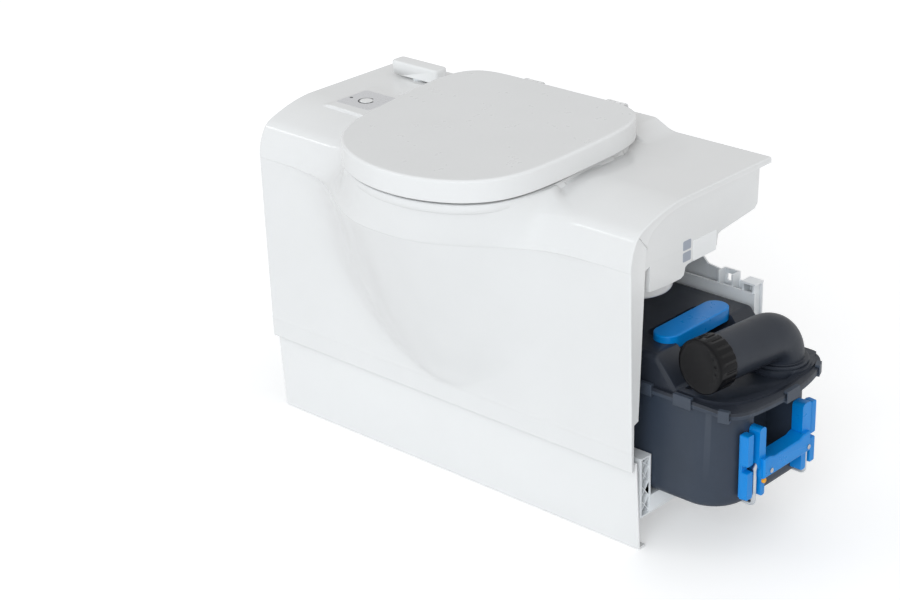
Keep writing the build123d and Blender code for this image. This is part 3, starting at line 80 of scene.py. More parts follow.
class ShaderTree:
    """Node tree of a new material or world, with short calls for its nodes."""

    def __init__(self, owner, surface="Principled BSDF"):
        owner.use_nodes = True
        self.owner = owner
        self.tree = owner.node_tree
        self.inputs = self.tree.nodes[surface].inputs
        self.coord = self.add("ShaderNodeTexCoord")

    def add(self, kind, **values):
        """New node; underscores in the names of values stand for spaces."""
        node = self.tree.nodes.new(kind)
        for key, value in values.items():
            node.inputs[key.replace("_", " ")].default_value = value
        return node

    def link(self, source, target):
        self.tree.links.new(source, target)

    def drive(self, name, source):
        self.link(source, self.inputs[name])

    def fix(self, name, value):
        self.inputs[name].default_value = value

    def noise(self, scale, detail=3.0, rough=0.55):
        node = self.add("ShaderNodeTexNoise", Scale=scale, Detail=detail, Roughness=rough)
        self.link(self.coord.outputs["Object"], node.inputs["Vector"])
        return node.outputs["Fac"]

    def ramp(self, value, source, target):
        """Map the range source onto the range target."""
        node = self.add("ShaderNodeMapRange", From_Min=source[0], From_Max=source[1],
                        To_Min=target[0], To_Max=target[1])
        self.link(value, node.inputs["Value"])
        return node.outputs["Result"]

    def mix(self, factor, first, second):
        node = self.tree.nodes.new("ShaderNodeMix")
        node.data_type = "RGBA"
        self.link(factor, node.inputs[0])
        for slot, value in ((6, first), (7, second)):       # the two colour inputs
            if isinstance(value, tuple):
                node.inputs[slot].default_value = (*value, 1.0)
            else:
                self.link(value, node.inputs[slot])
        return node.outputs[2]

    def bump(self, height, strength, distance, normal=None):
        node = self.add("ShaderNodeBump", Strength=strength, Distance=distance)
        self.link(height, node.inputs["Height"])
        if normal is not None:
            self.link(normal, node.inputs["Normal"])
        return node.outputs["Normal"]


def new_material(name):
    return ShaderTree(bpy.data.materials.new(name))


def scaled(colour, factor):
    return tuple(c * factor for c in colour)


def brighter(colour, factor, lift=0.0):
    return tuple(min(1.0, c * factor + lift) for c in colour)


def plastic(name, colour, rough, spread=0.04, grain=0.0, grain_scale=2600.0, wave=0.0,
            coat=0.0, edge=0.35, spec=0.5, wear=None):
    """Moulded plastic: slow colour and gloss variation, fine grain, slight flow waviness
    and lighter worn edges. spread: colour variation; edge: amount of the colour wear."""
    m = new_material(name)
    cloud = m.noise(scale=9.0, detail=4.0, rough=0.6)
    speckle = m.noise(scale=180.0, detail=3.0, rough=0.6)
    dark = scaled(colour, 1 - spread)
    light = brighter(colour, 1 + spread)
    base = m.mix(m.ramp(cloud, source=(0.35, 0.65), target=(0.0, 1.0)), dark, light)
    base = m.mix(m.ramp(speckle, source=(0.3, 0.7), target=(0.0, 0.35)), base, dark)
    geometry = m.add("ShaderNodeNewGeometry")
    worn = m.ramp(geometry.outputs["Pointiness"], source=(0.52, 0.60), target=(0.0, edge))
    base = m.mix(worn, base, wear or brighter(colour, 1.25, lift=0.02))
    m.drive("Base Color", base)
    gloss = m.noise(scale=38.0, detail=4.0, rough=0.6)
    m.drive("Roughness", m.ramp(gloss, source=(0.3, 0.7), target=(rough * 0.88, rough * 1.14)))
    m.fix("Specular IOR Level", spec)
    m.fix("Coat Weight", coat)
    m.fix("Coat Roughness", 0.05)
    normal = None
    if wave:
        height = m.noise(scale=14.0, detail=1.5, rough=0.4)
        normal = m.bump(height, strength=wave, distance=0.002)
    if grain:
        height = m.noise(scale=grain_scale, detail=2.0, rough=0.5)
        normal = m.bump(height, strength=grain, distance=0.0004, normal=normal)
    if normal is not None:
        m.drive("Normal", normal)
    return m.owner


def metal(name, colour, rough, spangle=0.0):
    """Bare metal with fine surface grain; spangle adds pale crystal cells."""
    grain_scale = 900.0
    m = new_material(name)
    cloud = m.noise(scale=60.0, detail=4.0, rough=0.6)
    factor = m.ramp(cloud, source=(0.3, 0.7), target=(0.0, 1.0))
    base = m.mix(factor, scaled(colour, 0.86), colour)
    if spangle:
        cells = m.add("ShaderNodeTexVoronoi", Scale=170.0)
        m.link(m.coord.outputs["Object"], cells.inputs["Vector"])
        factor = m.ramp(cells.outputs["Distance"], source=(0.0, 0.6), target=(0.0, spangle))
        base = m.mix(factor, base, brighter(colour, 1.12))
    m.drive("Base Color", base)
    m.fix("Metallic", 1.0)
    gloss = m.noise(scale=grain_scale, detail=3.0, rough=0.6)
    m.drive("Roughness", m.ramp(gloss, source=(0.3, 0.7), target=(rough * 0.75, rough * 1.3)))
    height = m.noise(scale=grain_scale * 1.6, detail=2.0, rough=0.5)
    m.drive("Normal", m.bump(height, strength=0.12, distance=0.0004))
    return m.owner


def rubber(name, colour):
    m = new_material(name)
    cloud = m.noise(scale=55.0, detail=4.0, rough=0.6)
    factor = m.ramp(cloud, source=(0.3, 0.7), target=(0.0, 1.0))
    m.drive("Base Color", m.mix(factor, colour, scaled(colour, 1.6)))
    gloss = m.noise(scale=120.0, detail=3.0, rough=0.6)
    m.drive("Roughness", m.ramp(gloss, source=(0.3, 0.7), target=(0.55, 0.8)))
    height = m.noise(scale=1400.0, detail=2.0, rough=0.5)
    m.drive("Normal", m.bump(height, strength=0.25, distance=0.0004))
    return m.owner


MATERIALS = {
    "white": plastic("white_gloss_moulding", (0.765, 0.765, 0.76), rough=0.13, spread=0.010,
                     wave=0.05, grain=0.03),
    "lid": plastic("lid_satin_moulding", (0.735, 0.735, 0.73), rough=0.30, spread=0.010,
                   wave=0.03, edge=0.5, wear=(0.90, 0.90, 0.90)),
    "skirt": plastic("lid_gloss_skirt", (0.785, 0.785, 0.78), rough=0.15, spread=0.010,
                     wave=0.04, grain=0.03, edge=0.5),
    "grey": plastic("pale_grey_moulding", (0.78, 0.80, 0.815), rough=0.34, spread=0.02,
                    grain=0.12, edge=0.5),
    "bowl": plastic("bowl_gloss", (0.80, 0.80, 0.78), rough=0.10, spread=0.015, coat=0.3),
    "tank": plastic("tank_grained_moulding", (0.034, 0.046, 0.068), rough=0.42, spread=0.08,
                    grain=0.30, grain_scale=900.0, edge=0.5, wear=(0.09, 0.105, 0.13),
                    spec=0.40),
    "tank_top": plastic("tank_top_grained", (0.022, 0.027, 0.038), rough=0.40, spread=0.10,
                        grain=0.32, grain_scale=900.0, edge=0.5, wear=(0.075, 0.085, 0.105),
                        spec=0.42),
    "black": plastic("black_semi_gloss", (0.005, 0.005, 0.006), rough=0.17, spread=0.2,
                     edge=0.25, wear=(0.022, 0.022, 0.024), wave=0.06, spec=0.20),
    "blue": plastic("blue_moulding", (0.0, 0.235, 0.68), rough=0.30, spread=0.03, wave=0.04,
                    edge=0.12, wear=(0.03, 0.38, 0.86), spec=0.4),
    "orange": plastic("orange_moulding", (0.88, 0.38, 0.02), rough=0.25, spread=0.06, grain=0.1),
    "label": plastic("film_label", (0.82, 0.83, 0.83), rough=0.35, spread=0.02, grain=0.05),
    "label_grey": plastic("film_label_grey", (0.32, 0.35, 0.41), rough=0.35, spread=0.03,
                          grain=0.05),
    "panel_film": plastic("panel_film", (0.56, 0.56, 0.57), rough=0.28, spread=0.02, grain=0.04),
    "ink": plastic("printed_dark", (0.02, 0.02, 0.025), rough=0.4, spread=0.1, grain=0.05),
    "float": plastic("float_moulding", (0.78, 0.74, 0.52), rough=0.45, spread=0.05, grain=0.1),
    "steel": metal("bright_screw_steel", (0.70, 0.70, 0.71), rough=0.22),
    "zinc": metal("galvanised_rod", (0.72, 0.75, 0.78), rough=0.34, spangle=0.6),
    "rubber": rubber("seal_rubber", (0.02, 0.02, 0.021)),
    "buffer": rubber("buffer_rubber", (0.25, 0.25, 0.25)),
}


def by_piece(groups):
    """Turn {value: "piece piece"} into {piece: value}."""
    return {piece: value for value, names in groups.items() for piece in names.split()}


LOOK = by_piece({
    "white": "bench_shell plinth_panel flush_water_tank flush_pump",
    "grey": "base_tray bowl_outlet_ring flush_nozzle button_housing blade_handle_shaft "
            "handle_bush drive_rod_guides",
    "label": "blank_label",
    "bowl": "toilet_bowl",
    "rubber": "bowl_outlet_seal flush_hose valve_lip_seal cap_seal",
    "skirt": "seat hinge_brackets flush_button blade_handle",
    "lid": "lid",
    "steel": "hinge_screws hinge_pins button_spring grip_screws handle_screws wheel_axle "
             "shell_screws",
    "buffer": "seat_buffers lid_buffers",
    "panel_film": "control_panel_label",
    "ink": "status_lens",
    "zinc": "blade_drive_rod trolley_rods",
    "tank": "tank_lower flange_clips",
    "tank_top": "tank_upper spout_elbow",
    "black": "valve_ring slide_blade blade_guides spout_retainer spout_cap rod_keepers "
             "wheel_near wheel_far float_bracket",
    "blue": "carry_grip vent_button side_clips pull_handle",
    "orange": "release_button",
    "float": "float_arm",
})
for piece, cad in PIECES.items():
    cad.data.materials.clear()
    cad.data.materials.append(MATERIALS[LOOK[piece]])


# ================================================================ helpers ===


def add_object(name, data):
    obj = bpy.data.objects.new(name, data)
    bpy.context.scene.collection.objects.link(obj)
    return obj


def shade(mesh, sharp_angle):
    """Smooth shading, broken at edges sharper than the angle in degrees."""
    mesh.polygons.foreach_set("use_smooth", [True] * len(mesh.polygons))
    mesh.set_sharp_from_angle(angle=math.radians(sharp_angle))


def make_object(name, verts, faces, *materials, smooth_angle=35.0, merge=0.0):
    """Mesh object from points (x, d, z) in mm; points closer than merge are joined."""
    v = np.asarray(verts, float)
    v = np.column_stack([v[:, 0], v[:, 1] + PLINTH_Y, v[:, 2]]) * MM
    mesh = bpy.data.meshes.new(name)
    mesh.from_pydata([tuple(p) for p in v], [], [tuple(int(i) for i in f) for f in faces])
    if merge:
        work = bmesh.new()
        work.from_mesh(mesh)
        bmesh.ops.remove_doubles(work, verts=work.verts, dist=merge * MM)
        bmesh.ops.recalc_face_normals(work, faces=work.faces)
        work.to_mesh(mesh)
        work.free()
    shade(mesh, smooth_angle)
    mesh.update()
    obj = add_object(name, mesh)
    for material in materials:
        mesh.materials.append(MATERIALS[material])
    return obj


def dress(piece, bevel):
    """Clean copy of a CAD piece with its sharp edges rounded; it stands for the piece."""
    mesh = PIECES[piece].data.copy()
    mesh.name = piece + "_look"
    work = bmesh.new()
    work.from_mesh(mesh)
    bmesh.ops.remove_doubles(work, verts=work.verts, dist=2e-6)
    bmesh.ops.dissolve_degenerate(work, dist=1e-6, edges=work.edges)
    bmesh.ops.dissolve_limit(work, angle_limit=math.radians(0.6), verts=work.verts,
                             edges=work.edges)
    work.to_mesh(mesh)
    work.free()
    shade(mesh, 38.0)
    obj = add_object(piece + "_look", mesh)
    if bevel:
        rounding = obj.modifiers.new("edge", "BEVEL")
        rounding.width = bevel * MM
        rounding.segments = 2
        rounding.limit_method = "ANGLE"
        rounding.angle_limit = math.radians(32.0)
        rounding.use_clamp_overlap = True
        rounding.harden_normals = False
        rounding.miter_outer = "MITER_ARC"
    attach(obj, BODY_OF[piece])
    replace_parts(obj, piece)
    return obj


class Spline:
    """Cubic spline through points at stations, with natural ends or given end slopes."""

    def __init__(self, stations, points, start_slope=None, end_slope=None):
        x = np.asarray(stations, float)
        y = np.asarray(points, float)
        count, h = len(x), np.diff(x)
        a = np.zeros((count, count))
        rhs = np.zeros((count, y.shape[1]))
        for i in range(1, count - 1):
            a[i, i - 1 : i + 2] = 1 / h[i - 1], 2 * (1 / h[i - 1] + 1 / h[i]), 1 / h[i]
            rhs[i] = 3 * ((y[i] - y[i - 1]) / h[i - 1] ** 2 + (y[i + 1] - y[i]) / h[i] ** 2)
        if start_slope is None:
            a[0, 0], a[0, 1], rhs[0] = 2 / h[0], 1 / h[0], 3 * (y[1] - y[0]) / h[0] ** 2
        else:
            a[0, 0], rhs[0] = 1, start_slope
        if end_slope is None:
            a[-1, -1], a[-1, -2] = 2 / h[-1], 1 / h[-1]
            rhs[-1] = 3 * (y[-1] - y[-2]) / h[-1] ** 2
        else:
            a[-1, -1], rhs[-1] = 1, end_slope
        self.x, self.y, self.slopes = x, y, np.linalg.solve(a, rhs)

    def __call__(self, q):
        i = np.clip(np.searchsorted(self.x, q) - 1, 0, len(self.x) - 2)
        h = self.x[i + 1] - self.x[i]
        t = ((q - self.x[i]) / h)[..., None]
        h = h[..., None]
        return ((2 * t**3 - 3 * t**2 + 1) * self.y[i]
                + (t**3 - 2 * t**2 + t) * h * self.slopes[i]
                + (3 * t**2 - 2 * t**3) * self.y[i + 1]
                + (t**3 - t**2) * h * self.slopes[i + 1])


def travelled(points):
    """Length along a polyline up to each of its points."""
    return np.concatenate([[0], np.cumsum(np.linalg.norm(np.diff(points, axis=0), axis=1))])


def smooth_line(points, start_slope, end_slope, count):
    """count points along a spline through the given points."""
    s = travelled(points)
    return Spline(s, points, start_slope, end_slope)(np.linspace(0, s[-1], count))


def closed_curve(points, count):
    """count points evenly spaced along a smooth closed curve through the given points."""
    p = np.asarray(points, float)
    lapped = np.vstack([p[-4:], p, p[:5]])
    t = travelled(lapped)
    fine = Spline(t, lapped)(np.linspace(t[4], t[4 + len(p)], count * 12 + 1))
    s = travelled(fine)
    q = np.linspace(0, s[-1], count, endpoint=False)
    return np.column_stack([np.interp(q, s, fine[:, 0]), np.interp(q, s, fine[:, 1])])


def unit(vectors):
    return vectors / np.linalg.norm(vectors, axis=1)[:, None]


def inward_normals(loop):
    tangent = unit(np.roll(loop, -1, axis=0) - np.roll(loop, 1, axis=0))
    return np.column_stack([-tangent[:, 1], tangent[:, 0]])


def smoothstep(value):
    s = np.clip(value, 0, 1)
    return s * s * (3 - 2 * s)


def smooth_min(a, b, radius):
    h = np.maximum(radius - np.abs(a - b), 0.0) / radius
    return np.minimum(a, b) - h * h * radius * 0.25


def smooth_max(a, b, radius):
    return -smooth_min(-a, -b, radius)


def ray_crossing(origin, way, start, end):
    """Distance along the ray, and share along the segment, of their crossing."""
    edge = np.subtract(end, start)
    det = way[0] * -edge[1] + way[1] * edge[0]
    if abs(det) < 1e-9:
        return 0.0, -1.0                                    # parallel: a share off the segment
    gap = np.subtract(start, origin)
    return ((gap[0] * -edge[1] + gap[1] * edge[0]) / det,
            (way[0] * gap[1] - way[1] * gap[0]) / det)


def rings_to_mesh(rings, close=True, caps=False):
    """Vertices and faces of a skin over rings with equal point counts."""
    n = len(rings[0])
    verts = [tuple(p) for r in rings for p in r]
    faces = []
    for k in range(len(rings) - 1):
        a, b = k * n, (k + 1) * n
        for i in range(n if close else n - 1):
            j = (i + 1) % n
            faces.append((a + i, a + j, b + j, b + i))
    if caps:
        faces.append(tuple(range(n - 1, -1, -1)))
        faces.append(tuple((len(rings) - 1) * n + i for i in range(n)))
    return verts, faces


# =============================================== outlines of lid and collar ===
RING_COUNT = 360            # points round the lid and the collar

# right half of the lid outline, front to rear: (x from the centreline, d)
LID_HALF = [
    (0, -142), (38, -139), (66, -132), (97, -119.5), (126, -100), (148, -75), (161.5, -46),
    (169, -14), (173.5, 26), (177, 78), (179, 130), (177, 166), (167.5, 196), (147, 217),
    (117, 225.5), (60, 227), (0, 227),
]


def lid_loop(inset, count=RING_COUNT):
    """Outline (x, d) of the lid moved in by inset."""
    points = LID_HALF + [(-x, d) for x, d in reversed(LID_HALF[1:-1])]
    curve = closed_curve(points, count)
    moved = curve + inward_normals(curve) * inset
    return np.column_stack([moved[:, 0] + CENTRE_X, moved[:, 1]])


def collar_loop(extra, count=RING_COUNT):
    """Outline of the collar: 5 mm inside the lid at the front, 11.5 mm at sides and rear."""
    points = lid_loop(0.0, count)
    inset = 5.0 + extra + 6.5 * smoothstep((points[:, 1] - 5.0) / 85.0)
    return points + inward_normals(points) * inset[:, None]


def seat_level(d, level):
    """Height at depth d of a seat-parallel plane that has this level at the bowl centre."""
    return level + SEAT_SLOPE * (d - BOWL_D)


def level_ring(loop, level):
    return np.column_stack([loop, seat_level(loop[:, 1], level)])


# ============================================= bench shell as a distance field ===
# side profile of the plain bench, from the foot of the front wall to the top: (d, z)
WALL = [(-20.0, 40.0), (-20.0, WALL_FOOT_Z), (-25.5, 366.0)]
CROWN = [(-26.5, BREAK_Z), (-25.0, 446), (-22.0, 457), (-18, 466.5), (-10, 478), (8, 487.5),
         (40, 497.3), (92, TOP_Z)]
PROFILE = np.vstack([WALL, smooth_line(CROWN, (0.02, 1.0), (1.0, 0.0), 90), [(500.0, TOP_Z)]])


def profile_distance(d, z):
    """Signed distance to the plain bench, negative inside."""
    nearest = np.full(d.shape, 1e9)
    for start, end in zip(PROFILE[:-1], PROFILE[1:]):
        edge = end - start
        share = ((d - start[0]) * edge[0] + (z - start[1]) * edge[1]) / (edge @ edge)
        share = np.clip(share, 0, 1)
        gap = np.hypot(d - start[0] - share * edge[0], z - start[1] - share * edge[1])
        nearest = np.minimum(nearest, gap)
    inside = (z < TOP_Z) & (d > np.interp(z, PROFILE[:-1, 1], PROFILE[:-1, 0]))
    return np.where(inside, -nearest, nearest)


GRID_D, GRID_Z = np.arange(-240.0, 330.0, 1.0), np.arange(100.0, 580.0, 1.0)
PROFILE_GRID = profile_distance(*np.meshgrid(GRID_D, GRID_Z, indexing="ij"))


def plain_distance(d, z):
    """profile_distance read from its 1 mm grid."""
    g = PROFILE_GRID
    u = np.clip(d - GRID_D[0], 0, len(GRID_D) - 1.001)
    v = np.clip(z - GRID_Z[0], 0, len(GRID_Z) - 1.001)
    i, j = u.astype(int), v.astype(int)
    fu, fv = u - i, v - j
    return (g[i, j] * (1 - fu) * (1 - fv) + g[i + 1, j] * fu * (1 - fv)
            + g[i, j + 1] * (1 - fu) * fv + g[i + 1, j + 1] * fu * fv)


# bulge of the front wall under the bowl: (z, depth, half width, x of its middle)
BULGE = np.array([
    (130.0, -14.0, 20.0, 17.0), (152.0, -6.0, 26.0, 16.0), (165, 3.0, 58.0, 14.0),
    (190, 14.0, 118.0, 9.0), (225, 29.0, 172.0, 6.0), (275, 48.0, 222.0, 4.0),
    (330, 68.0, 256.0, 3.0), (380, 86.0, 273.0, 2.0), (BREAK_Z, 103.0, 288.0, 0.0),
])
BULGE_Z = np.linspace(130, BREAK_Z, 300)
BULGE_AT = Spline(BULGE[:, 0], BULGE[:, 1:])(BULGE_Z)
# cross-section of the bulge: (distance from the middle / half width, share of the depth)
BELL = np.array([(0, 1.0), (0.13, 0.98), (0.25, 0.895), (0.40, 0.69), (0.56, 0.40),
                 (0.74, 0.125), (1.0, -0.085)])
_across = np.linspace(0, 1, 400)
# past its last point the bell runs straight down to (6, -4.5)
BELL_X = np.append(_across, 6.0)
BELL_SHARE = np.append(Spline(BELL[:, 0], BELL[:, 1:], start_slope=0.0)(_across), -4.5)


def bulge_front(x, z):
    """d of the bulge surface below the break line."""
    z = np.minimum(z, BREAK_Z)
    depth = np.interp(z, BULGE_Z, BULGE_AT[:, 0])
    half = np.maximum(np.interp(z, BULGE_Z, BULGE_AT[:, 1]), 15.0)
    middle = np.interp(z, BULGE_Z, BULGE_AT[:, 2])
    share = np.interp(np.abs(x - middle) / half, BELL_X, BELL_SHARE)
    wall = -20.0 - (z - WALL_FOOT_Z) * 0.0225
    return wall - np.where(depth > 0, depth * share, depth - 8 * (1 - share))


def bulge_distance(x, d, z):
    step = 0.5
    front = bulge_front(x, z)
    slope_x = (bulge_front(x + step, z) - front) / step
    slope_z = (front - bulge_front(x, z - step)) / step
    return (front - d) / np.sqrt(1 + slope_x * slope_x + slope_z * slope_z)


def bowl_polar(x, d):
    """Angle from the front and radius about the bowl centre."""
    dx, dy = x - CENTRE_X, d - BOWL_D
    return np.arctan2(dx, -dy), np.hypot(dx, dy)


ANGLES = np.radians(np.linspace(-180, 180, 1441))


def radius_by_angle(points):
    """Radius at each of ANGLES of an outline (x, d) round the bowl centre."""
    angle, radius = bowl_polar(points[:, 0], points[:, 1])
    order = np.argsort(angle)
    angle, radius = angle[order], radius[order]
    turn = 2 * np.pi
    return np.interp(ANGLES, np.concatenate([angle - turn, angle, angle + turn]),
                     np.concatenate([radius, radius, radius]))


# The band above the break line runs from the bulge up to the collar.
BAND_HEIGHT = 74.0
TOP_RADII = radius_by_angle(collar_loop(0.5, 900))
_x = np.linspace(-330, 330, 1800)
_bulge_radii = radius_by_angle(np.column_stack([_x, bulge_front(_x, np.full_like(_x, BREAK_Z))]))
# from 75 to 84 degrees off the front, the lower outline turns into the collar's own
_rear = smoothstep((np.abs(ANGLES) - math.radians(75)) / math.radians(9))
BREAK_RADII = _bulge_radii * (1 - _rear) + TOP_RADII * _rear


def band_distance(x, d, z):
    angle, radius = bowl_polar(x, d)
    w = np.clip((z - BREAK_Z) / BAND_HEIGHT, 1e-6, 1) ** 0.8
    low, high = np.interp(angle, ANGLES, BREAK_RADII), np.interp(angle, ANGLES, TOP_RADII)
    wall = low * (1 - w) + high * w
    step = 0.004
    beside = (np.interp(angle + step, ANGLES, BREAK_RADII) * (1 - w)
              + np.interp(angle + step, ANGLES, TOP_RADII) * w)
    slope_round = (beside - wall) / step / np.maximum(wall, 1)
    slope_up = (high - low) / BAND_HEIGHT
    side = (radius - wall) / np.sqrt(1 + slope_round * slope_round + slope_up * slope_up)
    top = (z - seat_level(d, 506.2)) * 0.998
    return smooth_max(side, top, 2.0)


def ledge_distance(x, d, z):
    """Ledge along the rear of the top, with sloping ends."""
    left_slope = 495 + (x + 181) * 0.5222
    right_slope = 495 + (202 - x) * 0.49
    top = np.minimum(np.minimum(518.5, left_slope), right_slope)
    return smooth_max((z - top) * 0.93, 228.5 - d, 4.0)


def panel_distance(x, d, z):
    """Low raised control panel on the left of the top."""
    top = z - 505.5
    front = 57.0 - 0.03 * (x + 220) - d
    left_slope = ((-299.5 - x) * 0.55 + top) * 0.88
    rear_slope = ((d - 168) * 0.3 + top) * 0.95
    panel = smooth_max(smooth_max(front, top, 2.4), smooth_max(left_slope, rear_slope, 3.0), 8.0)
    return np.maximum(panel, (x + 100) * 0.5)


# fillet between the plain bench and its bulge or band: height, radius
FILLET_Z = [140, 300, 425, 440, 478, 496, 503]
FILLET_RADIUS = [3, 5, 12, 22, 22, 8, 3]


def bench_distance(x, d, z):
    base = smooth_min(plain_distance(d, z), ledge_distance(x, d, z), 5.0)
    base = smooth_min(base, panel_distance(x, d, z), 1.8)
    front = np.where(z < BREAK_Z, bulge_distance(x, d, z), band_distance(x, d, z))
    return smooth_min(base, front, np.interp(z, FILLET_Z, FILLET_RADIUS))


def march(origin, direction, far):
    """First hit of the surface coming in from outside along each ray."""
    t = np.array(far, float)
    done = np.zeros(len(origin), bool)
    for _ in range(90):
        gap = bench_distance(*(origin + direction * t[:, None]).T)
        done |= gap < 0.02
        t = np.where(done, t, t - np.maximum(gap * 0.7, 0.03))
        if done.all():
            break
    for _ in range(4):
        t = t - bench_distance(*(origin + direction * t[:, None]).T) * 0.8
    return origin + direction * t[:, None]


def cast(columns, rows):
    """Surface points (row, column, xyz) for every x in columns and every ray in rows."""
    shape = (len(rows), len(columns))

    def spread(k):
        return np.broadcast_to(rows[:, k : k + 1], shape)

    origin = np.stack([np.broadcast_to(columns, shape), spread(0), spread(1)], -1)
    direction = np.stack([np.zeros(shape), spread(2), spread(3)], -1)
    hits = march(origin.reshape(-1, 3), direction.reshape(-1, 3), spread(4).ravel())
    return hits.reshape(*shape, 3)


# ====================================================== bench shell mesh ===
END_RADIUS = 2.0            # rounding of the two end edges
# inner line of the end flange, from the floor side to the rear: (d, z)
FLANGE_CROWN = [(4.5, 436.0), (8, 458), (19, 476), (44, 488.5), (92, 496.5)]
FLANGE = np.vstack([
    [(-16.3, 118.0), (-16.5, 204.0), (-7.2, 204.0), (2.3, 394.0)],
    smooth_line(FLANGE_CROWN, (0.05, 1.0), (1.0, 0.05), 40),
    [(292.5, 496.5)],
])


def flange_depth(point, way):
    """Distance from a point of the outer profile along way to just past the flange line."""
    limit, plain_depth, overlap = 60.0, 7.5, 1.1
    best = limit
    for start, end in zip(FLANGE[:-1], FLANGE[1:]):
        t, share = ray_crossing(point, way, start, end)
        if -1e-6 <= share <= 1 + 1e-6 and 1.5 < t < best:
            best = t
    return (best if best < limit - 1 else plain_depth) + overlap


def end_columns(profile, side):
    """Columns that round the end edge and turn in as a flange; side is -1 left, 1 right."""
    tangent = unit(np.gradient(profile, axis=0))
    inward = np.column_stack([tangent[:, 1], -tangent[:, 0]])
    inward[profile[:, 0] > 100] = (0.0, -1.0)

    def column(x, points):
        return np.column_stack([np.full(len(points), side * x), points])

    columns = []
    for a in np.radians((22.5, 45.0, 67.5, 90.0)):
        columns.append(column(HALF_LENGTH - END_RADIUS + END_RADIUS * math.sin(a),
                              profile + inward * END_RADIUS * (1 - math.cos(a))))
    columns.append(column(HALF_LENGTH, profile + inward * 2.7))
    depth = np.array([flange_depth(point, way) for point, way in zip(profile, inward)])
    edge = profile + inward * depth[:, None]
    columns.append(column(HALF_LENGTH, edge))
    columns.append(column(HALF_LENGTH - 3.0, edge + inward * 0.15))
    return columns


def build_shell():
    reach = HALF_LENGTH - END_RADIUS
    column_step = 2.75
    columns = np.linspace(-reach, reach, int(round(2 * reach / column_step)) + 1)
    wall_z = np.concatenate([
        [WALL_FOOT_Z, 131.2, 132.5],
        np.linspace(134.5, 424.0, 108),
        [426.5, 428.5, 430.0, 430.9, 431.35],
    ])
    fan = np.radians(np.concatenate([
        [0.0, 0.18, 0.5],
        np.arange(0.85, 34.0, 0.42),
        np.arange(34.0, 90.0, 0.85),
    ]))
    top_d = np.concatenate([
        np.arange(60.0, 224.0, 2.6),
        [225.5, 227.0, 228.2, 229.4, 231.0, 233.0],
        np.arange(236.0, 290.5, 4.0),
        [290.8, 291.6],
    ])
    # one ray per row, over wall, crown and top: (origin d, origin z, way d, way z, far)
    rows = [(40.0, z, -1.0, 0.0, 200.0) for z in wall_z]
    rows += [(60.0, BREAK_Z + 0.02, -math.cos(a), math.sin(a), 240.0) for a in fan]
    rows += [(d, BREAK_Z, 0.0, 1.0, 110.0) for d in top_d]
    rows = np.array(rows)
    hit = cast(columns, rows)
    left = end_columns(hit[:, 0, 1:], -1)
    right = end_columns(hit[:, -1, 1:], 1)
    grid = np.concatenate([np.stack(left[::-1], 1), hit, np.stack(right, 1)], 1)
    # the wall is set back a hair below the break line, which shows as a fine line
    set_back = np.interp(rows[:, 1], [425.0, 430.2, 430.9, 431.4], [0.55, 0.55, 0.4, 0.0])
    set_back[len(wall_z):] = 0.0
    grid[:, :, 1] += set_back[:, None]

    # leave out the bowl opening
    half_x, half_d = OPENING_HALF
    opening = (((grid[:, :, 0] - CENTRE_X) / half_x) ** 2
               + ((grid[:, :, 1] - BOWL_D) / half_d) ** 2) < 1
    width = grid.shape[1]
    faces = []
    for i in range(len(rows) - 1):
        for j in range(width - 1):
            if rows[i, 3] > 0.2 and opening[i : i + 2, j : j + 2].all():
                continue
            a = i * width + j
            faces.append((a, a + 1, a + width + 1, a + width))
    shell = make_object("bench_shell_skin", grid.reshape(-1, 3), faces, "white",
                        smooth_angle=42.0, merge=0.001)
    wall = shell.modifiers.new("wall", "SOLIDIFY")
    wall.thickness = 0.0034
    wall.offset = -1.0
    wall.use_even_offset = False
    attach(shell, "bench")
    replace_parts(shell, "bench_shell")


# side, small edge radius and flat top of the collar: (extra inset, level)
COLLAR_RINGS = [(2.5, 493.0), (0.35, 496.0), (0.0, 500.0), (0.0, 504.7), (0.45, 506.1),
                (1.6, 507.0), (4.0, 507.05)]


def build_collar():
    """Crisp collar under the seat, from its side over the top into the opening."""
    rings = [level_ring(collar_loop(extra), level) for extra, level in COLLAR_RINGS]
    flat_inset, flat_level = COLLAR_RINGS[-1]
    angle = bowl_polar(*collar_loop(flat_inset).T)[0]
    half_x, half_d = OPENING_HALF
    ellipse = np.column_stack([CENTRE_X + half_x * np.sin(angle),
                               BOWL_D - half_d * np.cos(angle)])
    rings.append(level_ring(ellipse, flat_level))
    rings.append(level_ring(ellipse, 503.5))
    collar = make_object("bench_collar", *rings_to_mesh(rings), "white", smooth_angle=50.0)
    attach(collar, "bench")


build_shell()
build_collar()

# =================================================================== lid ====
LID_MIDDLE = np.array([CENTRE_X, 42.0])     # point the lid's inner rings shrink to (x, d)
# inner wall, rim and outer skirt: (inset, level)
SKIRT_RINGS = [(4.2, 540.0), (4.0, 512.6), (3.4, 512.0), (0.8, 512.0), (0.15, 512.5),
               (0.0, 513.4), (0.0, 526.0), (0.0, 539.6)]
PIVOT = (263.0, 531.5)      # hinge axis (d, z)


def shrunk_ring(inset, share, level, crown=0.0):
    """Ring inside the lid outline; crown lifts it towards the middle."""
    loop = LID_MIDDLE + (lid_loop(inset) - LID_MIDDLE) * share
    ring = level_ring(loop, level)
    ring[:, 2] += crown * (1 - share ** 4)
    return ring


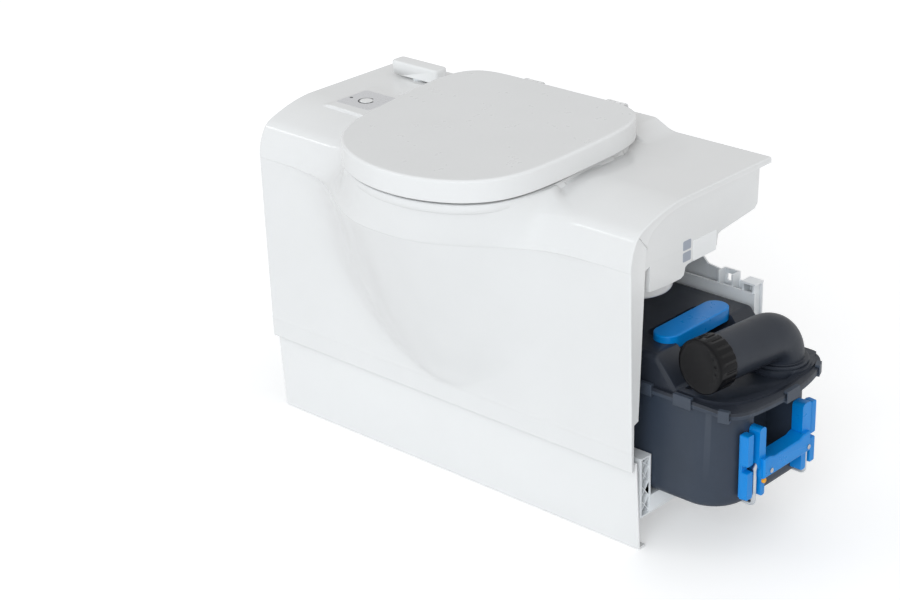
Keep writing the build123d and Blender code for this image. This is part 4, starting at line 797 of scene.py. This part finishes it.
def build_lid():
    """Glossy skirt, rounded top edge, faintly crowned satin top, hollow underneath."""
    rings = [shrunk_ring(4.2, k, level=541.4) for k in (0.02, 0.25, 0.5, 0.75, 0.9, 0.985)]
    rings += [level_ring(lid_loop(inset), level) for inset, level in SKIRT_RINGS]
    edge = 4.4
    for a in np.radians((12, 30, 48, 66, 82, 90)):
        rings.append(level_ring(lid_loop(edge * (1 - math.cos(a))),
                                540.6 + (edge - 0.55) * math.sin(a)))
    satin_from = len(rings) - 2             # satin starts on the last strip of the edge
    for k in (0.93, 0.86, 0.75, 0.6, 0.45, 0.3, 0.15, 0.02):
        rings.append(shrunk_ring(edge, k, level=544.45, crown=0.45))
    lid = make_object("lid_moulding", *rings_to_mesh(rings, caps=True), "skirt", "lid",
                      smooth_angle=60.0)
    for face in lid.data.polygons:
        face.material_index = int(min(face.vertices) // RING_COUNT >= satin_from)
    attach(lid, "lid")
    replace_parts(lid, "lid")
    return lid


def cut(obj, boxes):
    """Subtract boxes (x0, x1, d0, d1, z0, z1) from an object."""
    sides = ((0, 2, 3, 1), (4, 5, 7, 6), (0, 1, 5, 4), (2, 6, 7, 3), (0, 4, 6, 2), (1, 3, 7, 5))
    verts, faces = [], []
    for x0, x1, d0, d1, z0, z1 in boxes:
        first = len(verts)
        verts += [(x, d, z) for z in (z0, z1) for d in (d0, d1) for x in (x0, x1)]
        faces += [[first + k for k in side] for side in sides]
    tool = make_object("cutter", verts, faces, "skirt")
    boolean = obj.modifiers.new("cut", "BOOLEAN")
    boolean.operation = "DIFFERENCE"
    boolean.solver = "EXACT"
    boolean.object = tool
    graph = bpy.context.evaluated_depsgraph_get()
    mesh = bpy.data.meshes.new_from_object(obj.evaluated_get(graph))
    obj.modifiers.clear()
    obj.data = mesh
    bpy.data.objects.remove(tool)


def hinge_ear(name, side):
    """Tapered arm from the rear of the lid to a round eye on the pivot."""
    eye_radius, hole_radius, root_d = 8.0, 4.05, 224.5
    pivot_d, pivot_z = PIVOT
    arm = [(pivot_d, pivot_z + eye_radius), (root_d, 537.0), (root_d, 527.0),
           (pivot_d - 10, pivot_z - 7.8), (pivot_d, pivot_z - eye_radius)]
    inner, outer = [], []
    for a in np.radians(np.linspace(0, 360, 97)[:-1]):
        way = np.array([math.cos(a), math.sin(a)])
        radius = eye_radius
        for start, end in zip(arm, arm[1:] + arm[:1]):
            t, share = ray_crossing(PIVOT, way, start, end)
            if 0 <= share <= 1 and t > radius:
                radius = t
        outer.append((pivot_d + radius * way[0], pivot_z + radius * way[1]))
        inner.append((pivot_d + hole_radius * way[0], pivot_z + hole_radius * way[1]))
    x0, x1 = sorted((CENTRE_X + side * 79.5, CENTRE_X + side * 88.5))
    lines = ((x0, inner), (x0, outer), (x1, outer), (x1, inner), (x0, inner))
    rings = [[(x, d, z) for d, z in line] for x, line in lines]
    ear = make_object(name, *rings_to_mesh(rings), "skirt", smooth_angle=30.0, merge=0.001)
    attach(ear, "lid")


# two notches, 12 wide, in the rear edge of the lid
NOTCH_MIDDLES = [CENTRE_X + side * 74 for side in (-1, 1)]
cut(build_lid(), [(x - 6, x + 6, 204.0, 238.0, 505.0, 551.0) for x in NOTCH_MIDDLES])
hinge_ear("lid_hinge_ear_1", side=-1)
hinge_ear("lid_hinge_ear_2", side=1)

# ======================================================= the other pieces ===
BEVELS = by_piece({         # edge rounding in mm: pieces
    0.0: "blade_handle",
    0.2: "vent_button blade_guides grip_screws hinge_pins release_button",
    0.3: "flush_button blade_drive_rod rod_keepers slide_blade wheel_near wheel_far "
         "float_bracket blade_handle_shaft shell_screws handle_screws hinge_screws "
         "trolley_rods wheel_axle spout_retainer flush_nozzle",
    0.4: "valve_ring button_housing bowl_outlet_ring float_arm handle_bush seat_buffers "
         "lid_buffers",
    0.5: "flange_clips carry_grip spout_cap pull_handle side_clips drive_rod_guides",
    0.6: "seat hinge_brackets",
    0.7: "base_tray",
    0.8: "plinth_panel toilet_bowl spout_elbow flush_pump",
    0.9: "tank_lower",
    1.2: "flush_water_tank",
    1.4: "tank_upper",
})
for piece in sorted(PIECES):
    if piece in BEVELS:
        dress(piece, BEVELS[piece])

# the spring under the button gets a mesh of its own; the real spring is pressed flat from the
# top when the button goes down
BUTTON_X, BUTTON_D = -257.0, 108.0
spring = dress("button_spring", bevel=0.0)
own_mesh(spring)


def button_mark():
    """Dark open ring round the flush button."""
    angles = np.radians(np.linspace(-150, 150, 61) + 225)
    section = ((10.9, 505.72), (10.9, 505.9), (12.9, 505.9), (12.9, 505.72))    # radius, z
    rings = [[(BUTTON_X + r * math.cos(a), BUTTON_D + r * math.sin(a), z) for a in angles]
             for r, z in section]
    mark = make_object("button_ring_mark", *rings_to_mesh(rings, close=False), "ink",
                       smooth_angle=30)
    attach(mark, "bench")


def film(name, d0, d1, z0, z1, material):
    """Thin film with rounded corners on the right end of the water tank."""
    r = 2.0
    corners = ((d1 - r, z1 - r, 0), (d0 + r, z1 - r, 90), (d0 + r, z0 + r, 180),
               (d1 - r, z0 + r, 270))                       # centre d, z and first angle
    line = [(d + r * math.cos(a), z + r * math.sin(a))
            for d, z, first in corners for a in np.radians(np.linspace(first, first + 90, 7))]
    rings = [[(x, d, z) for d, z in line] for x in (356.55, 356.95)]
    sheet = make_object(name, *rings_to_mesh(rings, caps=True), material,
                        smooth_angle=30, merge=0.0005)
    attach(sheet, "bench")
    return sheet


button_mark()
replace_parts(film("blank_sticker", 113.0, 166.0, 404.0, 434.0, "label"), "blank_label")
film("grey_patch_1", 90.0, 107.5, 425.8, 439.5, "label_grey")
film("grey_patch_2", 90.0, 107.5, 409.0, 422.7, "label_grey")


# ========================================================= studio, in metres ===


def build_floor():
    half, z = 30, -0.0004
    corners = [(-half, -half, z), (half, -half, z), (half, half, z), (-half, half, z)]
    mesh = bpy.data.meshes.new("studio_floor")
    mesh.from_pydata(corners, [], [(0, 1, 2, 3)])
    floor = add_object("studio_floor", mesh)
    m = new_material("studio_floor_paint")
    cloud = m.noise(scale=2.0, detail=3.0, rough=0.5)
    factor = m.ramp(cloud, source=(0.3, 0.7), target=(0.0, 1.0))
    m.drive("Base Color", m.mix(factor, (0.86, 0.86, 0.86), (0.88, 0.88, 0.88)))
    m.fix("Roughness", 0.9)
    m.fix("Specular IOR Level", 0.1)
    m.fix("Emission Color", (1, 1, 1, 1))
    # the floor glows for the camera much more than it lights the bench
    seen = m.add("ShaderNodeLightPath").outputs["Is Camera Ray"]
    m.drive("Emission Strength", m.ramp(seen, source=(0.0, 1.0), target=(0.02, 0.30)))
    mesh.materials.append(m.owner)


def build_world():
    """Grey surround, slightly brighter towards +X."""
    world = bpy.data.worlds.new("studio")
    bpy.context.scene.world = world
    w = ShaderTree(world, surface="Background")
    split = w.add("ShaderNodeSeparateXYZ")
    w.link(w.coord.outputs["Generated"], split.inputs[0])
    w.drive("Color", w.ramp(split.outputs["X"], source=(-1.0, 1.0), target=(0.92, 1.08)))
    w.fix("Strength", 0.69)


def build_lights():
    # broad soft key from the front right
    data = bpy.data.lights.new("key_soft", "SUN")
    data.energy = 1.34
    data.angle = math.radians(38.0)
    data.color = (0.93, 1.0, 1.06)
    key = add_object("key_soft", data)
    key.rotation_mode = "QUATERNION"
    key.rotation_quaternion = Vector((0.383, -0.821, 0.423)).to_track_quat("Z", "Y")
    key.visible_glossy = False

    # narrow strip, high at the left, for the thin highlight along the crown
    data = bpy.data.lights.new("crown_strip", "AREA")
    data.shape = "RECTANGLE"
    data.size = 2.2
    data.size_y = 0.16
    data.energy = 9.0
    data.color = (0.97, 0.99, 1.0)
    strip = add_object("crown_strip", data)
    turn, height, distance = math.radians(52), math.radians(34), 4.2
    way = Vector((-math.sin(turn) * math.cos(height), -math.cos(turn) * math.cos(height),
                  math.sin(height)))
    target = Vector((0, 0, 0.45))
    place = way * distance + target
    strip.location = place
    strip.rotation_mode = "QUATERNION"
    strip.rotation_quaternion = (target - place).to_track_quat("-Z", "Y")


def build_camera():
    data = bpy.data.cameras.new("camera")
    camera = add_object("camera", data)
    turn, height, roll = math.radians(43.01), math.radians(24.0), math.radians(-1.51)
    back = Vector((math.sin(turn) * math.cos(height), -math.cos(turn) * math.cos(height),
                   math.sin(height)))
    right = (-back).cross(Vector((0, 0, 1))).normalized()
    up = right.cross(-back)
    rolled_right = math.cos(roll) * right + math.sin(roll) * up
    rolled_up = -math.sin(roll) * right + math.cos(roll) * up
    axes = Matrix((rolled_right, rolled_up, back)).transposed().to_4x4()
    camera.matrix_world = Matrix.Translation((2.0005, -2.2875, 1.5874)) @ axes
    data.sensor_width = 36.0
    data.lens = 88.12
    data.clip_end = 100.0
    bpy.context.scene.camera = camera


build_floor()
build_world()
build_lights()
build_camera()
bpy.context.scene.view_settings.view_transform = "Standard"

bpy.context.view_layer.update()
